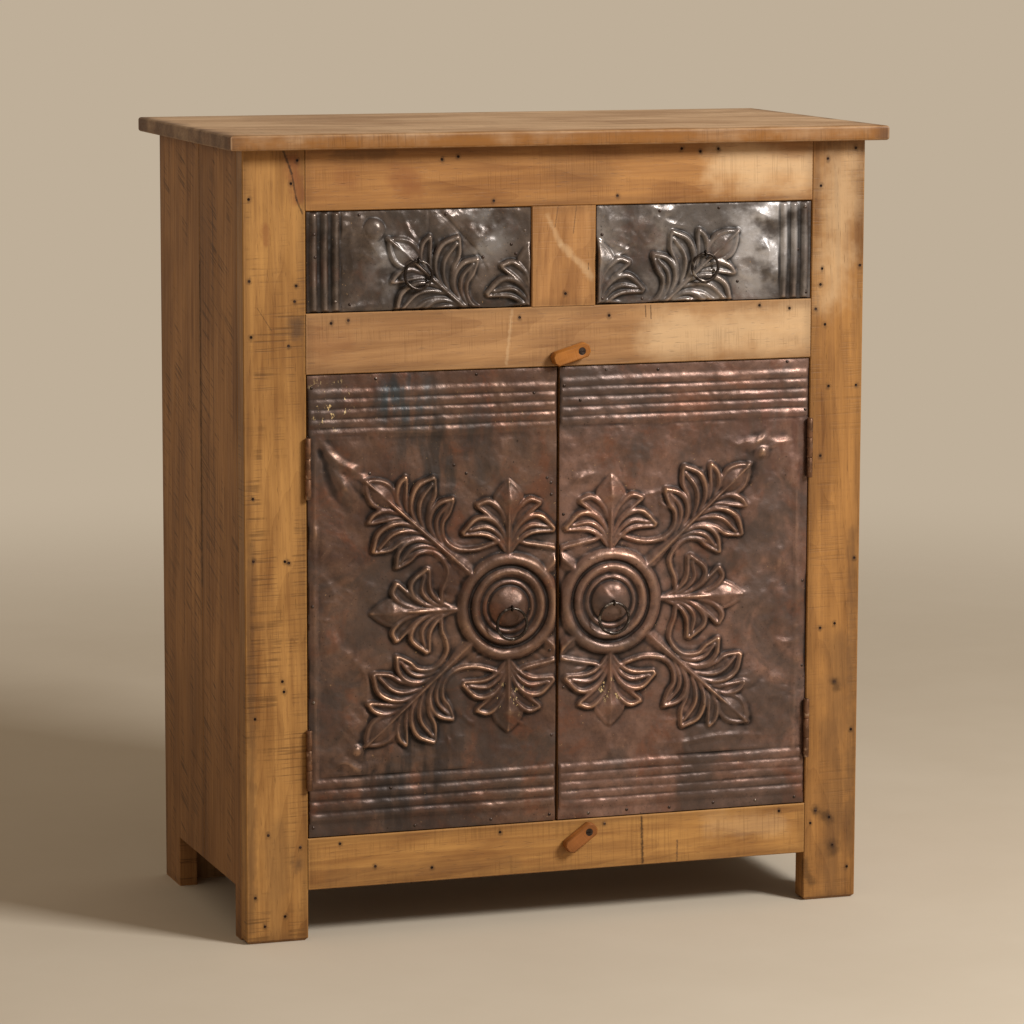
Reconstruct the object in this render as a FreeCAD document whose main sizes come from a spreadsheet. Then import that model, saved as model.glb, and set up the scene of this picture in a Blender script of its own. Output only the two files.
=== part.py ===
"""A pie safe: a plank cupboard with two drawers and two doors faced in embossed tin.

The case is a face frame of stiles and rails on plank sides, with a framed and
boarded back.  Each door is a plank core on butt hinges, each drawer a box on a
dust board, and both are faced in sheet tin pressed with ribs, a ringed medallion
and acanthus sprays.  Iron rings pull them open and wooden turn buttons hold the
doors shut.  Millimetres, +Z up, the front faces -Y, origin on the floor under the
middle of the top board.
"""
import FreeCAD
import Part
import Sketcher
import os
from collections import namedtuple
from math import cos, hypot, pi, radians, sin
from FreeCAD import Placement, Rotation, Vector

document = FreeCAD.newDocument("PieSafe")

# ---------------------------------------------------------------- driving sizes
SIZES = {
    # case
    "body_width": 816.0,
    "body_depth": 404.0,
    "total_height": 1000.0,
    "top_thickness": 18.4,
    "top_overhang_side": 21.0,
    "top_overhang_front": 27.0,
    "top_overhang_back": 27.0,
    "top_edge_radius": 3.5,
    "arris": 1.2,
    "foot_arris": 4.0,
    # face frame
    "frame_thickness": 28.0,
    "left_stile_width": 79.0,
    "right_stile_width": 71.5,
    "top_rail_height": 75.4,
    "drawer_opening_height": 124.8,
    "middle_rail_height": 74.7,
    "bottom_rail_height": 65.0,
    "bottom_rail_lift": 63.9,
    "mullion_width": 84.0,
    "mullion_offset": 0.0,
    # plank sides
    "side_thickness": 23.5,
    "side_joint_offset": 2.0,
    "board_joint": 0.8,
    "side_cut_height": 65.4,
    "front_leg_depth": 53.9,
    "rear_leg_depth": 72.9,
    # back
    "rear_stile_width": 55.5,
    "rear_frame_thickness": 25.0,
    "rear_rail_height": 75.0,
    "back_board_thickness": 12.0,
    "back_board_count": 5,
    # inside
    "board_thickness": 18.0,
    "cleat_size": 20.0,
    "shelf_rise": 295.0,
    "shelf_setback": 30.0,
    "door_stop_lip": 8.0,
    "stop_strip_depth": 18.0,
    "stop_strip_height": 26.0,
    "guide_height": 20.0,
    "kicker_width": 30.0,
    "kicker_lap": 10.0,
    # doors
    "meeting_offset": -6.2,
    "meeting_gap": 4.0,
    "hinge_side_gap": 1.8,
    "door_edge_gap": 1.5,
    "door_recess": 0.9,
    "door_stop_gap": 0.5,
    "batten_thickness": 18.0,
    "batten_width": 60.0,
    "batten_inset": 72.0,
    "batten_end_gap": 18.0,
    # tin facings
    "tin_thickness": 0.8,
    "rib_width": 6.4,
    "rib_height": 2.0,
    "upper_rib_count": 5,
    "upper_rib_pitch": 12.3,
    "left_upper_first_rib": 22.8,
    "right_upper_first_rib": 18.5,
    "left_lower_rib_count": 4,
    "left_lower_rib_pitch": 14.2,
    "left_lower_first_rib": 23.5,
    "right_lower_rib_count": 5,
    "right_lower_rib_pitch": 11.7,
    "right_lower_first_rib": 19.4,
    "leaf_height": 4.6,
    "stem_height": 3.4,
    "medallion_radius": 65.0,
    "medallion_rise": 277.0,
    "left_medallion_inset": 63.6,
    "right_medallion_inset": 68.0,
    "dome_radius": 26.0,
    "dome_height": 12.0,
    "thin_ring_space": 4.0,
    "ring_crest": 5.2,
    "palmette_root": 62.0,
    "palmette_tip": 155.0,
    "palmette_reach": 57.0,
    "side_palmette_root": 68.0,
    "side_palmette_tip": 176.0,
    "side_palmette_reach": 52.0,
    "acanthus_root": 64.5,
    "acanthus_tip": 246.0,
    "acanthus_reach": 59.0,
    "acanthus_slant": 41.6,
    "stud_radius": 9.0,
    "stud_height": 4.0,
    "left_stud_out": 198.0,
    "left_stud_up": -171.5,
    "right_stud_out": 204.0,
    "right_stud_up": 180.5,
    "boss_radius": 13.5,
    "boss_height": 6.0,
    "boss_out": 205.5,
    "boss_up": 178.0,
    "left_drawer_spray_shift": 1.4,
    "right_drawer_spray_shift": 2.6,
    "drawer_spray_drop": 77.3,
    "drawer_rib_inset": 9.0,
    "drawer_rib_pitch": 14.0,
    "drawer_rib_count": 3,
    # butt hinges
    "hinge_length": 76.0,
    "hinge_leaf_depth": 26.0,
    "hinge_leaf_thickness": 1.4,
    "hinge_leaf_space": 1.0,
    "hinge_knuckle_radius": 3.8,
    "hinge_pin_radius": 2.1,
    "hinge_pin_clearance": 0.08,
    "hinge_axis_proud": 4.2,
    "hinge_play": 0.3,
    "upper_hinge_drop": 75.7,
    "lower_hinge_rise": 60.1,
    # ring pulls
    "door_ring_radius": 19.4,
    "drawer_ring_radius": 17.2,
    "ring_wire_radius": 1.4,
    "eye_radius": 3.2,
    "eye_wire_radius": 1.1,
    "eye_standoff": 4.5,
    "eye_play": 0.3,
    "shank_length": 18.0,
    "shank_clearance": 0.1,
    "drawer_pull_height": 62.0,
    "left_drawer_pull_offset": -4.2,
    "right_drawer_pull_offset": -2.2,
    # drawers
    "drawer_reveal": 1.5,
    "drawer_side_gap": 2.0,
    "drawer_run_gap": 0.3,
    "drawer_front_thickness": 20.0,
    "drawer_side_thickness": 12.0,
    "drawer_side_height": 96.0,
    "drawer_back_gap": 7.3,
    "drawer_bottom_thickness": 6.0,
    "drawer_bottom_rise": 10.0,
    "groove_depth": 5.0,
    "groove_play": 0.2,
    "kicker_gap": 1.5,
    # turn buttons
    "button_width": 18.5,
    "button_thickness": 12.0,
    "button_near": 11.4,
    "upper_button_far": 38.4,
    "lower_button_far": 36.0,
    "button_corner": 5.0,
    "button_arris": 1.5,
    "upper_button_offset": 26.2,
    "upper_button_rise": 19.2,
    "upper_button_turn": 17.0,
    "lower_button_offset": 39.2,
    "lower_button_drop": 14.4,
    "lower_button_turn": 36.0,
    "washer_radius": 7.0,
    "washer_thickness": 1.5,
    "screw_radius": 2.4,
    "screw_head_radius": 4.8,
    "screw_head_height": 3.0,
    "screw_length": 34.0,
    "screw_slot": 1.0,
    "screw_clearance": 0.08,
}

sheet = document.addObject("Spreadsheet::Sheet", "Sizes")
for row, (alias, size) in enumerate(SIZES.items(), start=1):
    sheet.set(f"A{row}", alias.replace("_", " "))
    sheet.set(f"B{row}", str(size))
    sheet.setAlias(f"B{row}", alias)
document.recompute()


class Expressions:
    """The sheet's cells as expressions, so that S.body_width reads Sizes.body_width."""

    def __getattr__(self, alias):
        if alias not in SIZES:
            raise AttributeError(alias)
        return f"Sizes.{alias}"


S = Expressions()


def value(expression):
    """What an expression over the sheet comes to now."""
    return float(sheet.evalExpression(str(expression)))


def add(*terms):
    return "(" + " + ".join(str(term) for term in terms) + ")"


def less(first, *rest):
    return "(" + " - ".join(str(term) for term in (first,) + rest) + ")"


def half(term):
    return f"({term} / 2)"


# ------------------------------------------------------- faces of the case, as expressions
left = f"(-{S.body_width} / 2)"
right = f"({S.body_width} / 2)"
front = f"(-{S.body_depth} / 2)"
back = f"({S.body_depth} / 2)"
under_top = less(S.total_height, S.top_thickness)
frame_back = add(front, S.frame_thickness)
inner_left = add(left, S.side_thickness)
inner_right = less(right, S.side_thickness)
boards_front = less(back, S.back_board_thickness)
rear_frame_front = less(boards_front, S.rear_frame_thickness)

opening_left = add(left, S.left_stile_width)
opening_right = less(right, S.right_stile_width)
opening_middle = half(add(opening_left, opening_right))
mullion_left = less(add(opening_middle, S.mullion_offset), half(S.mullion_width))
mullion_right = add(mullion_left, S.mullion_width)

door_bottom_rail_top = add(S.bottom_rail_lift, S.bottom_rail_height)
drawer_opening_top = less(under_top, S.top_rail_height)
drawer_opening_bottom = less(drawer_opening_top, S.drawer_opening_height)
door_opening_top = less(drawer_opening_bottom, S.middle_rail_height)

parts = {}


def keep(node, feature):
    """Files a finished sub-part under its node's name."""
    feature.Label = node
    parts[node] = feature
    return feature


def place(feature, x, y, z):
    for axis, expression in zip("xyz", (x, y, z)):
        feature.setExpression(f"Placement.Base.{axis}", str(expression))


def outline(sketch, points):
    """A closed polygon whose corners are held by the sheet."""
    corners = [Vector(value(u), value(v), 0) for u, v in points]
    count = len(corners)
    for index, corner in enumerate(corners):
        sketch.addGeometry(Part.LineSegment(corner, corners[(index + 1) % count]), False)
    for index in range(count):
        following = (index + 1) % count
        sketch.addConstraint(Sketcher.Constraint("Coincident", index, 2, following, 1))
    for index, (point, corner) in enumerate(zip(points, corners)):
        for kind, expression, now in zip(("DistanceX", "DistanceY"), point, (corner.x, corner.y)):
            held = sketch.addConstraint(Sketcher.Constraint(kind, -1, 1, index, 1, now))
            sketch.setExpression(f"Constraints[{held}]", str(expression))


def origin_plane(body, role):
    return next(item for item in body.Origin.OriginFeatures if item.Role == role)


def padded(name, role, points, length):
    """A PartDesign body: one profile on an origin plane, padded to a length."""
    body = document.addObject("PartDesign::Body", name)
    sketch = body.newObject("Sketcher::SketchObject", f"{name}_profile")
    sketch.AttachmentSupport = (origin_plane(body, role), [""])
    sketch.MapMode = "FlatFace"
    outline(sketch, points)
    pad = body.newObject("PartDesign::Pad", f"{name}_pad")
    pad.Profile = sketch
    pad.setExpression("Length", str(length))
    body.Tip = pad
    return body


def dress(body, kind, size, chosen):
    """Chamfers or rounds the edges of a body that `chosen` picks."""
    document.recompute()
    base = body.Tip
    edges = [f"Edge{n}" for n, edge in enumerate(base.Shape.Edges, start=1) if chosen(edge)]
    feature = body.newObject(f"PartDesign::{kind}", f"{body.Name}_{kind.lower()}")
    feature.Base = (base, edges)
    feature.setExpression("Radius" if kind == "Fillet" else "Size", str(size))
    body.Tip = feature


def runs_along(axis):
    """Picks the edges parallel to a coordinate axis."""
    def chosen(edge):
        start, end = (vertex.Point for vertex in edge.Vertexes)
        span = end - start
        return abs(getattr(span, axis)) > 0.999 * span.Length
    return chosen


def board(name, x, y, z, grain=None):
    """A sawn board between pairs of faces; its arrises along the grain are broken."""
    wide, deep = less(x[1], x[0]), less(y[1], y[0])
    corners = [("0", "0"), (wide, "0"), (wide, deep), ("0", deep)]
    body = padded(name, "XY_Plane", corners, less(z[1], z[0]))
    if grain:
        dress(body, "Chamfer", S.arris, runs_along(grain))
    place(body, x[0], y[0], z[0])
    return body


def box(name, x, y, z):
    """A plain block for cutting joints."""
    block = document.addObject("Part::Box", name)
    for side, (low, high) in zip(("Length", "Width", "Height"), (x, y, z)):
        block.setExpression(side, less(high, low))
    place(block, x[0], y[0], z[0])
    return block


def rod(name, radius, length, x, y, z, towards=Vector(0, 0, 1)):
    """A cylinder from a point towards a direction."""
    cylinder = document.addObject("Part::Cylinder", name)
    cylinder.setExpression("Radius", str(radius))
    cylinder.setExpression("Height", str(length))
    cylinder.Placement = Placement(Vector(), Rotation(Vector(0, 0, 1), towards))
    place(cylinder, x, y, z)
    return cylinder


def fused(name, pieces):
    joined = document.addObject("Part::MultiFuse", name)
    joined.Shapes = pieces
    return joined


def cut(name, base, tools):
    """A sub-part with its joints cut out."""
    tool = tools[0] if len(tools) == 1 else fused(f"{name}_joints", tools)
    result = document.addObject("Part::Cut", name)
    result.Base = base
    result.Tool = tool
    return result


def group(name, pieces):
    """Like pieces that share one node, each a solid of its own."""
    compound = document.addObject("Part::Compound", name)
    compound.Links = pieces
    return compound


# ---------------------------------------------------------------- door, hinge and pull stations
door_z = (add(door_bottom_rail_top, S.door_edge_gap), less(door_opening_top, S.door_edge_gap))
meeting_middle = add(opening_middle, S.meeting_offset)
half_meeting = half(S.meeting_gap)
door_x = {
    "left": (add(opening_left, S.hinge_side_gap), less(meeting_middle, half_meeting)),
    "right": (add(meeting_middle, half_meeting), less(opening_right, S.hinge_side_gap)),
}
tin_front = add(front, S.door_recess)
core_front = add(tin_front, S.tin_thickness)
core_back = less(frame_back, S.door_stop_gap)
medallion_x = {
    "left": less(door_x["left"][1], S.left_medallion_inset),
    "right": add(door_x["right"][0], S.right_medallion_inset),
}
medallion_z = add(door_z[0], S.medallion_rise)

hinge_heights = {
    "upper": less(door_z[1], S.upper_hinge_drop, S.hinge_length),
    "lower": add(door_z[0], S.lower_hinge_rise),
}
hinge_y = less(front, S.hinge_axis_proud)
hinge_x = {
    "left": add(opening_left, half(S.hinge_side_gap)),
    "right": less(opening_right, half(S.hinge_side_gap)),
}
# how far a leaf's two faces stand from the pin's axis, and how deep it goes in
leaf_inner = half(S.hinge_leaf_space)
leaf_outer = add(leaf_inner, S.hinge_leaf_thickness)
leaf_end = add(hinge_y, S.hinge_leaf_depth)


def opposite(side):
    return "right" if side == "left" else "left"


def leaf_span(side, leaf_side):
    """The leaf's two faces on x, for the hinge on one side and the leaf on one side of it."""
    axis = hinge_x[side]
    if leaf_side == "left":
        return less(axis, leaf_outer), less(axis, leaf_inner)
    return add(axis, leaf_inner), add(axis, leaf_outer)


def mortises(owner, side, leaf_side):
    """Shallow housings, as long and deep as a hinge leaf, cut in a stile or a door."""
    depth = (less(hinge_y, S.hinge_leaf_depth), leaf_end)
    return [
        box(f"{owner}_{level}_mortise", leaf_span(side, leaf_side), depth,
            (height, add(height, S.hinge_length)))
        for level, height in hinge_heights.items()
    ]


# ---------------------------------------------------------------- the top
top_board = board(
    "top_plank",
    (less(left, S.top_overhang_side), add(right, S.top_overhang_side)),
    (less(front, S.top_overhang_front), add(back, S.top_overhang_back)),
    (under_top, S.total_height),
)
dress(top_board, "Fillet", S.top_edge_radius, lambda edge: not runs_along("z")(edge))
keep("top_board", top_board)

# ---------------------------------------------------------------- the face frame
frame_y = (front, frame_back)
stile_spans = {"left": (left, opening_left), "right": (opening_right, right)}
for side, span in stile_spans.items():
    stile = board(f"{side}_stile_board", span, frame_y, ("0", under_top))
    dress(stile, "Chamfer", S.foot_arris,
          lambda edge: max(vertex.Z for vertex in edge.Vertexes) < 0.01)
    dress(stile, "Chamfer", S.arris, runs_along("z"))
    node = f"front_{side}_stile"
    keep(node, cut(f"{node}_cut", stile, mortises(node, side, side)))

opening_span = (opening_left, opening_right)
keep("top_rail", board("top_rail_board", opening_span, frame_y,
                       (drawer_opening_top, under_top), grain="x"))
mullion_span = (mullion_left, mullion_right)
keep("drawer_mullion", board("mullion_board", mullion_span, frame_y,
                             (drawer_opening_bottom, drawer_opening_top), grain="z"))

upper_screw = (add(meeting_middle, S.upper_button_offset),
               add(door_opening_top, S.upper_button_rise))
lower_screw = (add(meeting_middle, S.lower_button_offset),
               less(door_bottom_rail_top, S.lower_button_drop))
rail_spans = {
    "middle_rail": (door_opening_top, drawer_opening_bottom, upper_screw),
    "bottom_rail": (S.bottom_rail_lift, door_bottom_rail_top, lower_screw),
}
for node, (low, high, screw) in rail_spans.items():
    rail = board(f"{node}_board", opening_span, frame_y, (low, high), grain="x")
    hole = rod(f"{node}_screw_hole", add(S.screw_radius, S.screw_clearance),
               S.frame_thickness, screw[0], front, screw[1], towards=Vector(0, 1, 0))
    keep(node, cut(f"{node}_cut", rail, [hole]))

# ---------------------------------------------------------------- the plank sides
side_x = {"left": (left, inner_left), "right": (inner_right, right)}
half_joint = half(S.board_joint)
front_plank = (frame_back, less(S.side_joint_offset, half_joint))
rear_plank = (add(S.side_joint_offset, half_joint), back)


def side_board(name, span, leg, x):
    """A plank that runs down into a leg over part of its width."""
    low, high = span
    wide = less(high, low)
    leg_low, leg_high = less(leg[0], low), less(leg[1], low)
    cut_edge = S.side_cut_height
    if leg[0] == low:
        corners = [("0", "0"), (leg_high, "0"), (leg_high, cut_edge), (wide, cut_edge)]
    else:
        corners = [("0", cut_edge), (leg_low, cut_edge), (leg_low, "0"), (wide, "0")]
    corners += [(wide, under_top), ("0", under_top)]
    body = padded(name, "YZ_Plane", corners, S.side_thickness)
    dress(body, "Chamfer", S.arris, runs_along("z"))
    place(body, x[0], low, "0")
    return body


front_leg = (frame_back, add(front, S.front_leg_depth))
rear_leg = (less(back, S.rear_leg_depth), back)
for side, x in side_x.items():
    for place_name, span, leg in (("front", front_plank, front_leg), ("rear", rear_plank, rear_leg)):
        node = f"{side}_side_{place_name}_board"
        keep(node, side_board(f"{node}_body", span, leg, x))

# ---------------------------------------------------------------- the back
rear_y = (rear_frame_front, boards_front)
rear_stile_spans = {
    "left": (inner_left, add(inner_left, S.rear_stile_width)),
    "right": (less(inner_right, S.rear_stile_width), inner_right),
}
for side, span in rear_stile_spans.items():
    keep(f"rear_{side}_stile", board(f"rear_{side}_stile_board", span, rear_y,
                                     ("0", under_top), grain="z"))
rear_rail_x = (rear_stile_spans["left"][1], rear_stile_spans["right"][0])
keep("rear_top_rail", board("rear_top_rail_board", rear_rail_x, rear_y,
                            (less(under_top, S.rear_rail_height), under_top), grain="x"))
keep("rear_bottom_rail", board(
    "rear_bottom_rail_board", rear_rail_x, rear_y,
    (S.side_cut_height, add(S.side_cut_height, S.rear_rail_height)), grain="x"))

back_boards = []
count = int(SIZES["back_board_count"])
back_width = less(inner_right, inner_left)
board_pitch = f"({back_width} / {count})"
for index in range(count):
    low = add(inner_left, f"{index} * {board_pitch}", half_joint)
    high = add(inner_left, f"{index + 1} * {board_pitch}", f"(-{half_joint})")
    back_boards.append(board(f"back_board_{index + 1}", (low, high), (boards_front, back),
                             (S.side_cut_height, under_top)))
keep("back_boards", group("back_board_group", back_boards))

# ---------------------------------------------------------------- boards and cleats inside
inside_x = (inner_left, inner_right)
inside_y = (frame_back, rear_frame_front)
bottom_top = add(door_bottom_rail_top, S.door_stop_lip)
bottom_under = less(bottom_top, S.board_thickness)
dust_top = drawer_opening_bottom
dust_under = less(dust_top, S.board_thickness)
shelf_under = add(bottom_top, S.shelf_rise)
shelf_y = (add(frame_back, S.shelf_setback), rear_frame_front)

keep("bottom_board", board("bottom_board_body", inside_x, inside_y, (bottom_under, bottom_top)))
keep("dust_board", board("dust_board_body", inside_x, inside_y, (dust_under, dust_top)))
keep("shelf", board("shelf_body", inside_x, shelf_y,
                    (shelf_under, add(shelf_under, S.board_thickness)), grain="x"))


def cleat_pair(node, y, top):
    """Two battens along the sides, which carry a board or hold the top down."""
    under = less(top, S.cleat_size)
    pair = [
        board(f"{node}_left", (inner_left, add(inner_left, S.cleat_size)), y, (under, top)),
        board(f"{node}_right", (less(inner_right, S.cleat_size), inner_right), y, (under, top)),
    ]
    keep(node, group(f"{node}_pair", pair))


cleat_pair("bottom_cleats", inside_y, bottom_under)
cleat_pair("shelf_cleats", shelf_y, shelf_under)
cleat_pair("dust_board_cleats", inside_y, dust_under)
cleat_pair("top_cleats", inside_y, under_top)

stop_under = less(door_opening_top, S.door_stop_lip)
keep("door_stop_strip", board(
    "door_stop_strip_body", opening_span, (frame_back, add(frame_back, S.stop_strip_depth)),
    (stop_under, add(stop_under, S.stop_strip_height)), grain="x"))

guide_z = (dust_top, add(dust_top, S.guide_height))
guide_spans = {
    "left": (inner_left, opening_left),
    "middle": mullion_span,
    "right": (opening_right, inner_right),
}
guides = [board(f"{name}_guide", span, inside_y, guide_z) for name, span in guide_spans.items()]
keep("drawer_guides", group("drawer_guide_group", guides))

drawer_under = add(dust_top, S.drawer_run_gap)
kicker_under = add(drawer_under, S.drawer_side_height, S.kicker_gap)
kicker_z = (kicker_under, add(drawer_opening_top, S.kicker_lap))
half_kicker = half(S.kicker_width)
kicker_spans = {
    "left": (less(opening_left, half_kicker), add(opening_left, half_kicker)),
    "middle": (less(mullion_left, half_kicker), add(mullion_right, half_kicker)),
    "right": (less(opening_right, half_kicker), add(opening_right, half_kicker)),
}
kickers = [board(f"{name}_kicker", span, inside_y, kicker_z) for name, span in kicker_spans.items()]
keep("drawer_kickers", group("drawer_kicker_group", kickers))

divider_middle = half(add(mullion_left, mullion_right))
half_board = half(S.board_thickness)
keep("drawer_divider", board(
    "drawer_divider_body", (less(divider_middle, half_board), add(divider_middle, half_board)),
    inside_y, (guide_z[1], kicker_under)))

# ---------------------------------------------------------------- butt hinges
KNUCKLE_COUNT = 3
KNUCKLE_SIDE_COUNT = 12


def prism(name, radius, length, x, y, z):
    """An upright bar of even sides, which stands for a rolled knuckle or its bore."""
    bar = document.addObject("Part::Prism", name)
    bar.Polygon = KNUCKLE_SIDE_COUNT
    bar.setExpression("Circumradius", str(radius))
    bar.setExpression("Height", str(length))
    place(bar, x, y, z)
    return bar


def hinge_leaf(name, side, leaf_side, height, own):
    """One leaf: a plate beside the axis, rolled into its own knuckles round the pin."""
    axis = hinge_x[side]
    span = leaf_span(side, leaf_side)
    plate_start = add(hinge_y, S.hinge_knuckle_radius, S.hinge_play)
    top = add(height, S.hinge_length)
    pieces = [box(f"{name}_plate", span, (plate_start, leaf_end), (height, top))]
    pitch = f"({S.hinge_length} / {KNUCKLE_COUNT})"
    for index in own:
        low = add(height, f"{index} * {pitch}", half(S.hinge_play))
        length = less(pitch, S.hinge_play)
        pieces.append(prism(f"{name}_knuckle_{index}", S.hinge_knuckle_radius, length,
                            axis, hinge_y, low))
        pieces.append(box(f"{name}_neck_{index}", span,
                          (hinge_y, add(plate_start, S.hinge_leaf_thickness)),
                          (low, add(low, length))))
    # the bore's flats stand clear of the round pin
    running_radius = add(S.hinge_pin_radius, S.hinge_pin_clearance)
    bore = prism(f"{name}_bore", f"({running_radius} / cos({180 / KNUCKLE_SIDE_COUNT}))",
                 S.hinge_length, axis, hinge_y, height)
    return cut(f"{name}_leaf", fused(f"{name}_blank", pieces), [bore])


frame_leaves = []
pins = []
for side in ("left", "right"):
    door_leaves = []
    for level, height in hinge_heights.items():
        frame_leaves.append(hinge_leaf(f"{side}_{level}_frame", side, side, height, (0, 2)))
        door_leaves.append(hinge_leaf(f"{side}_{level}_door", side, opposite(side), height, (1,)))
        pins.append(rod(f"{side}_{level}_pin", S.hinge_pin_radius, S.hinge_length,
                        hinge_x[side], hinge_y, height))
    keep(f"{side}_door_hinge_leaves", group(f"{side}_door_leaf_group", door_leaves))
keep("frame_hinge_leaves", group("frame_leaf_group", frame_leaves))
keep("hinge_pins", group("hinge_pin_group", pins))

# ---------------------------------------------------------------- embossing in the tin
# The die's forms are drawn about the medallion's centre: u runs away from the door's
# meeting edge and w runs up.  Every form is a stack of like outlines, joined by flat
# facets, which rises from inside the sheet to a narrower crown.
LENS_FLAT_COUNT = 3
ROUND_FLAT_COUNT = 36
CAP_FLAT_COUNT = 16
RIB_FLAT_COUNT = 4
CROWN_SHARE = 0.42


def size(alias):
    """A number from the sheet, for the pressed forms."""
    return float(sheet.get(alias))


tin_sunk = size("tin_thickness") / 2


def on_face(u, w, rise, mirror):
    return Vector(mirror * u, -rise, w)


def pressed(outlines):
    """The solid between like outlines, closed by the first and the last."""
    loops = [outlines[0], outlines[-1]]
    for low, high in zip(outlines, outlines[1:]):
        for index in range(len(low)):
            loops.append([low[index - 1], low[index], high[index], high[index - 1]])
    shell = Part.makeShell([Part.Face(Part.makePolygon(loop + loop[:1])) for loop in loops])
    shell.sewShape()
    solid = Part.makeSolid(shell)
    if solid.Volume < 0:
        solid.reverse()
    return solid


def narrowed(points, share, rise):
    """An outline drawn in towards its middle and lifted off the sheet."""
    middle = sum(points, Vector()) * (1 / len(points))
    return [middle + (point - middle) * share - Vector(0, rise, 0) for point in points]


def lobe(root, tip, width, bow, mirror):
    """One leaf lobe: two bowed sides that meet in a point at its root and at its tip."""
    run, climb = tip[0] - root[0], tip[1] - root[1]
    length = hypot(run, climb)
    middle = ((root[0] + tip[0]) / 2, (root[1] + tip[1]) / 2)
    ends = [on_face(*end, -tin_sunk, mirror) for end in (root, tip)]
    foot = []
    for offset in (bow + width / 2, bow - width / 2):
        beside = on_face(middle[0] - climb / length * offset, middle[1] + run / length * offset,
                         -tin_sunk, mirror)
        foot += Part.Arc(ends[0], beside, ends[1]).toShape().discretize(LENS_FLAT_COUNT + 1)[:-1]
        ends.reverse()
    return pressed([foot, narrowed(foot, CROWN_SHARE, size("leaf_height") + tin_sunk)])


def stem(points, width, mirror):
    """A stem that bends at its middle point, with mitred sides and a narrower crown."""
    here, bend, there = (on_face(*point, 0, mirror) for point in points)
    first, second = ((b - a).normalize() for a, b in ((here, bend), (bend, there)))
    outward = Vector(0, 1, 0)
    across = [first.cross(outward), second.cross(outward)]
    mitre = (across[0] + across[1]) * (1 / (1 + across[0].dot(across[1])))
    stations = list(zip((here, bend, there), (across[0], mitre, across[1])))

    def ribbon(half_width, rise):
        lift = Vector(0, -rise, 0)
        right_side = [point + side * half_width + lift for point, side in stations]
        left_side = [point - side * half_width + lift for point, side in reversed(stations)]
        return right_side + left_side

    return pressed([ribbon(width / 2, -tin_sunk),
                    ribbon(CROWN_SHARE * width / 2, size("stem_height"))])


def turned(profile, flats):
    """Rings of a profile about the centre, given as radius and rise."""
    return pressed([
        [on_face(radius * cos(2 * pi * step / flats), radius * sin(2 * pi * step / flats), rise, 1)
         for step in range(flats)]
        for radius, rise in profile
    ])


def medallion():
    """Two raised rings and a thin one, one inside the next, about a dome."""
    outer, dome = size("medallion_radius"), size("dome_radius")
    crest, top = size("ring_crest"), size("dome_height")
    thin_ring = dome + size("thin_ring_space")
    return turned([
        (outer, -tin_sunk), (0.86 * outer, crest), (0.74 * outer, 0.2 * crest),
        (0.64 * outer, crest), (0.53 * outer, 0.3 * crest), (thin_ring, 0.9 * crest),
        (dome, 0.4 * crest), (0.72 * dome, 0.8 * top), (0.3 * dome, top),
    ], ROUND_FLAT_COUNT)


def cap(out, up, radius, height, mirror):
    """A low round boss."""
    boss = turned([(radius, -tin_sunk), (0.7 * radius, 0.7 * height), (0.3 * radius, height)],
                  CAP_FLAT_COUNT)
    boss.translate(on_face(out, up, 0, mirror))
    return boss


def bead(start, run):
    """A straight half-round rib along the sheet."""
    across = run.cross(Vector(0, 1, 0)).normalize() * (size("rib_width") / 2)
    sunk, crest = Vector(0, tin_sunk, 0), Vector(0, -size("rib_height"), 0)
    arc = Part.Arc(start + across + sunk, start + crest, start - across + sunk)
    section = arc.toShape().discretize(RIB_FLAT_COUNT + 1)
    return Part.Face(Part.makePolygon(section + section[:1])).extrude(run)


# A lobe's root, along its leaf's axis, and its tip, along and across, as shares of the
# leaf's length and reach; then its width and how far its middle bows out.
Lobe = namedtuple("Lobe", "root along across width bow")
PALMETTE = (Lobe(0.20, 0.75, 0.65, 15, 3), Lobe(0.10, 0.34, 1.00, 20, 5))
PALMETTE_END = Lobe(0.26, 1.00, 0.00, 25, 0)
PALMETTE_STALK, PALMETTE_STALK_WIDTH = 0.34, 8
ACANTHUS = (Lobe(0.58, 0.83, 0.57, 14, 4), Lobe(0.44, 0.67, 1.00, 25, 6),
            Lobe(0.27, 0.47, 0.83, 20, 5))
ACANTHUS_END = Lobe(0.60, 1.00, 0.00, 36, 0)
ACANTHUS_STALK, ACANTHUS_STALK_WIDTH = 0.68, 9
LOBE_SPREAD = 2.5
STALK_BEND = 0.6
# thin stems that join the leaves, each by three points about the medallion
TENDRILS = (
    ((13, 84), (42, 73), (72, 79)),
    ((95, 67), (80, 42), (91, 14)),
    ((-12, 84), (-34, 76), (-70, 66)),
    ((-40, 46), (-54, 55), (-76, 63)),
)
TENDRIL_WIDTH = 7


def leaf(base, tip, reach, lobes, end, stalk, stalk_width, mirror):
    """A stalk, lobes that fan out on both sides of it, and a pointed end."""
    length = hypot(tip[0] - base[0], tip[1] - base[1])
    along = ((tip[0] - base[0]) / length, (tip[1] - base[1]) / length)

    def at(share, sideways):
        return (base[0] + along[0] * share * length - along[1] * sideways,
                base[1] + along[1] * share * length + along[0] * sideways)

    forms = [
        stem((at(0, 0), at(stalk / 2, STALK_BEND), at(stalk, 0)), stalk_width, mirror),
        lobe(at(end.root, 0), at(end.along, 0), end.width, end.bow, mirror),
    ]
    for hand in (1, -1):
        for one in lobes:
            forms.append(lobe(at(one.root, LOBE_SPREAD * hand),
                              at(one.along, one.across * reach * hand),
                              one.width, -one.bow * hand, mirror))
    return forms


def palmette(base, tip, reach, mirror):
    return leaf(base, tip, reach, PALMETTE, PALMETTE_END, PALMETTE_STALK,
                PALMETTE_STALK_WIDTH, mirror)


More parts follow.
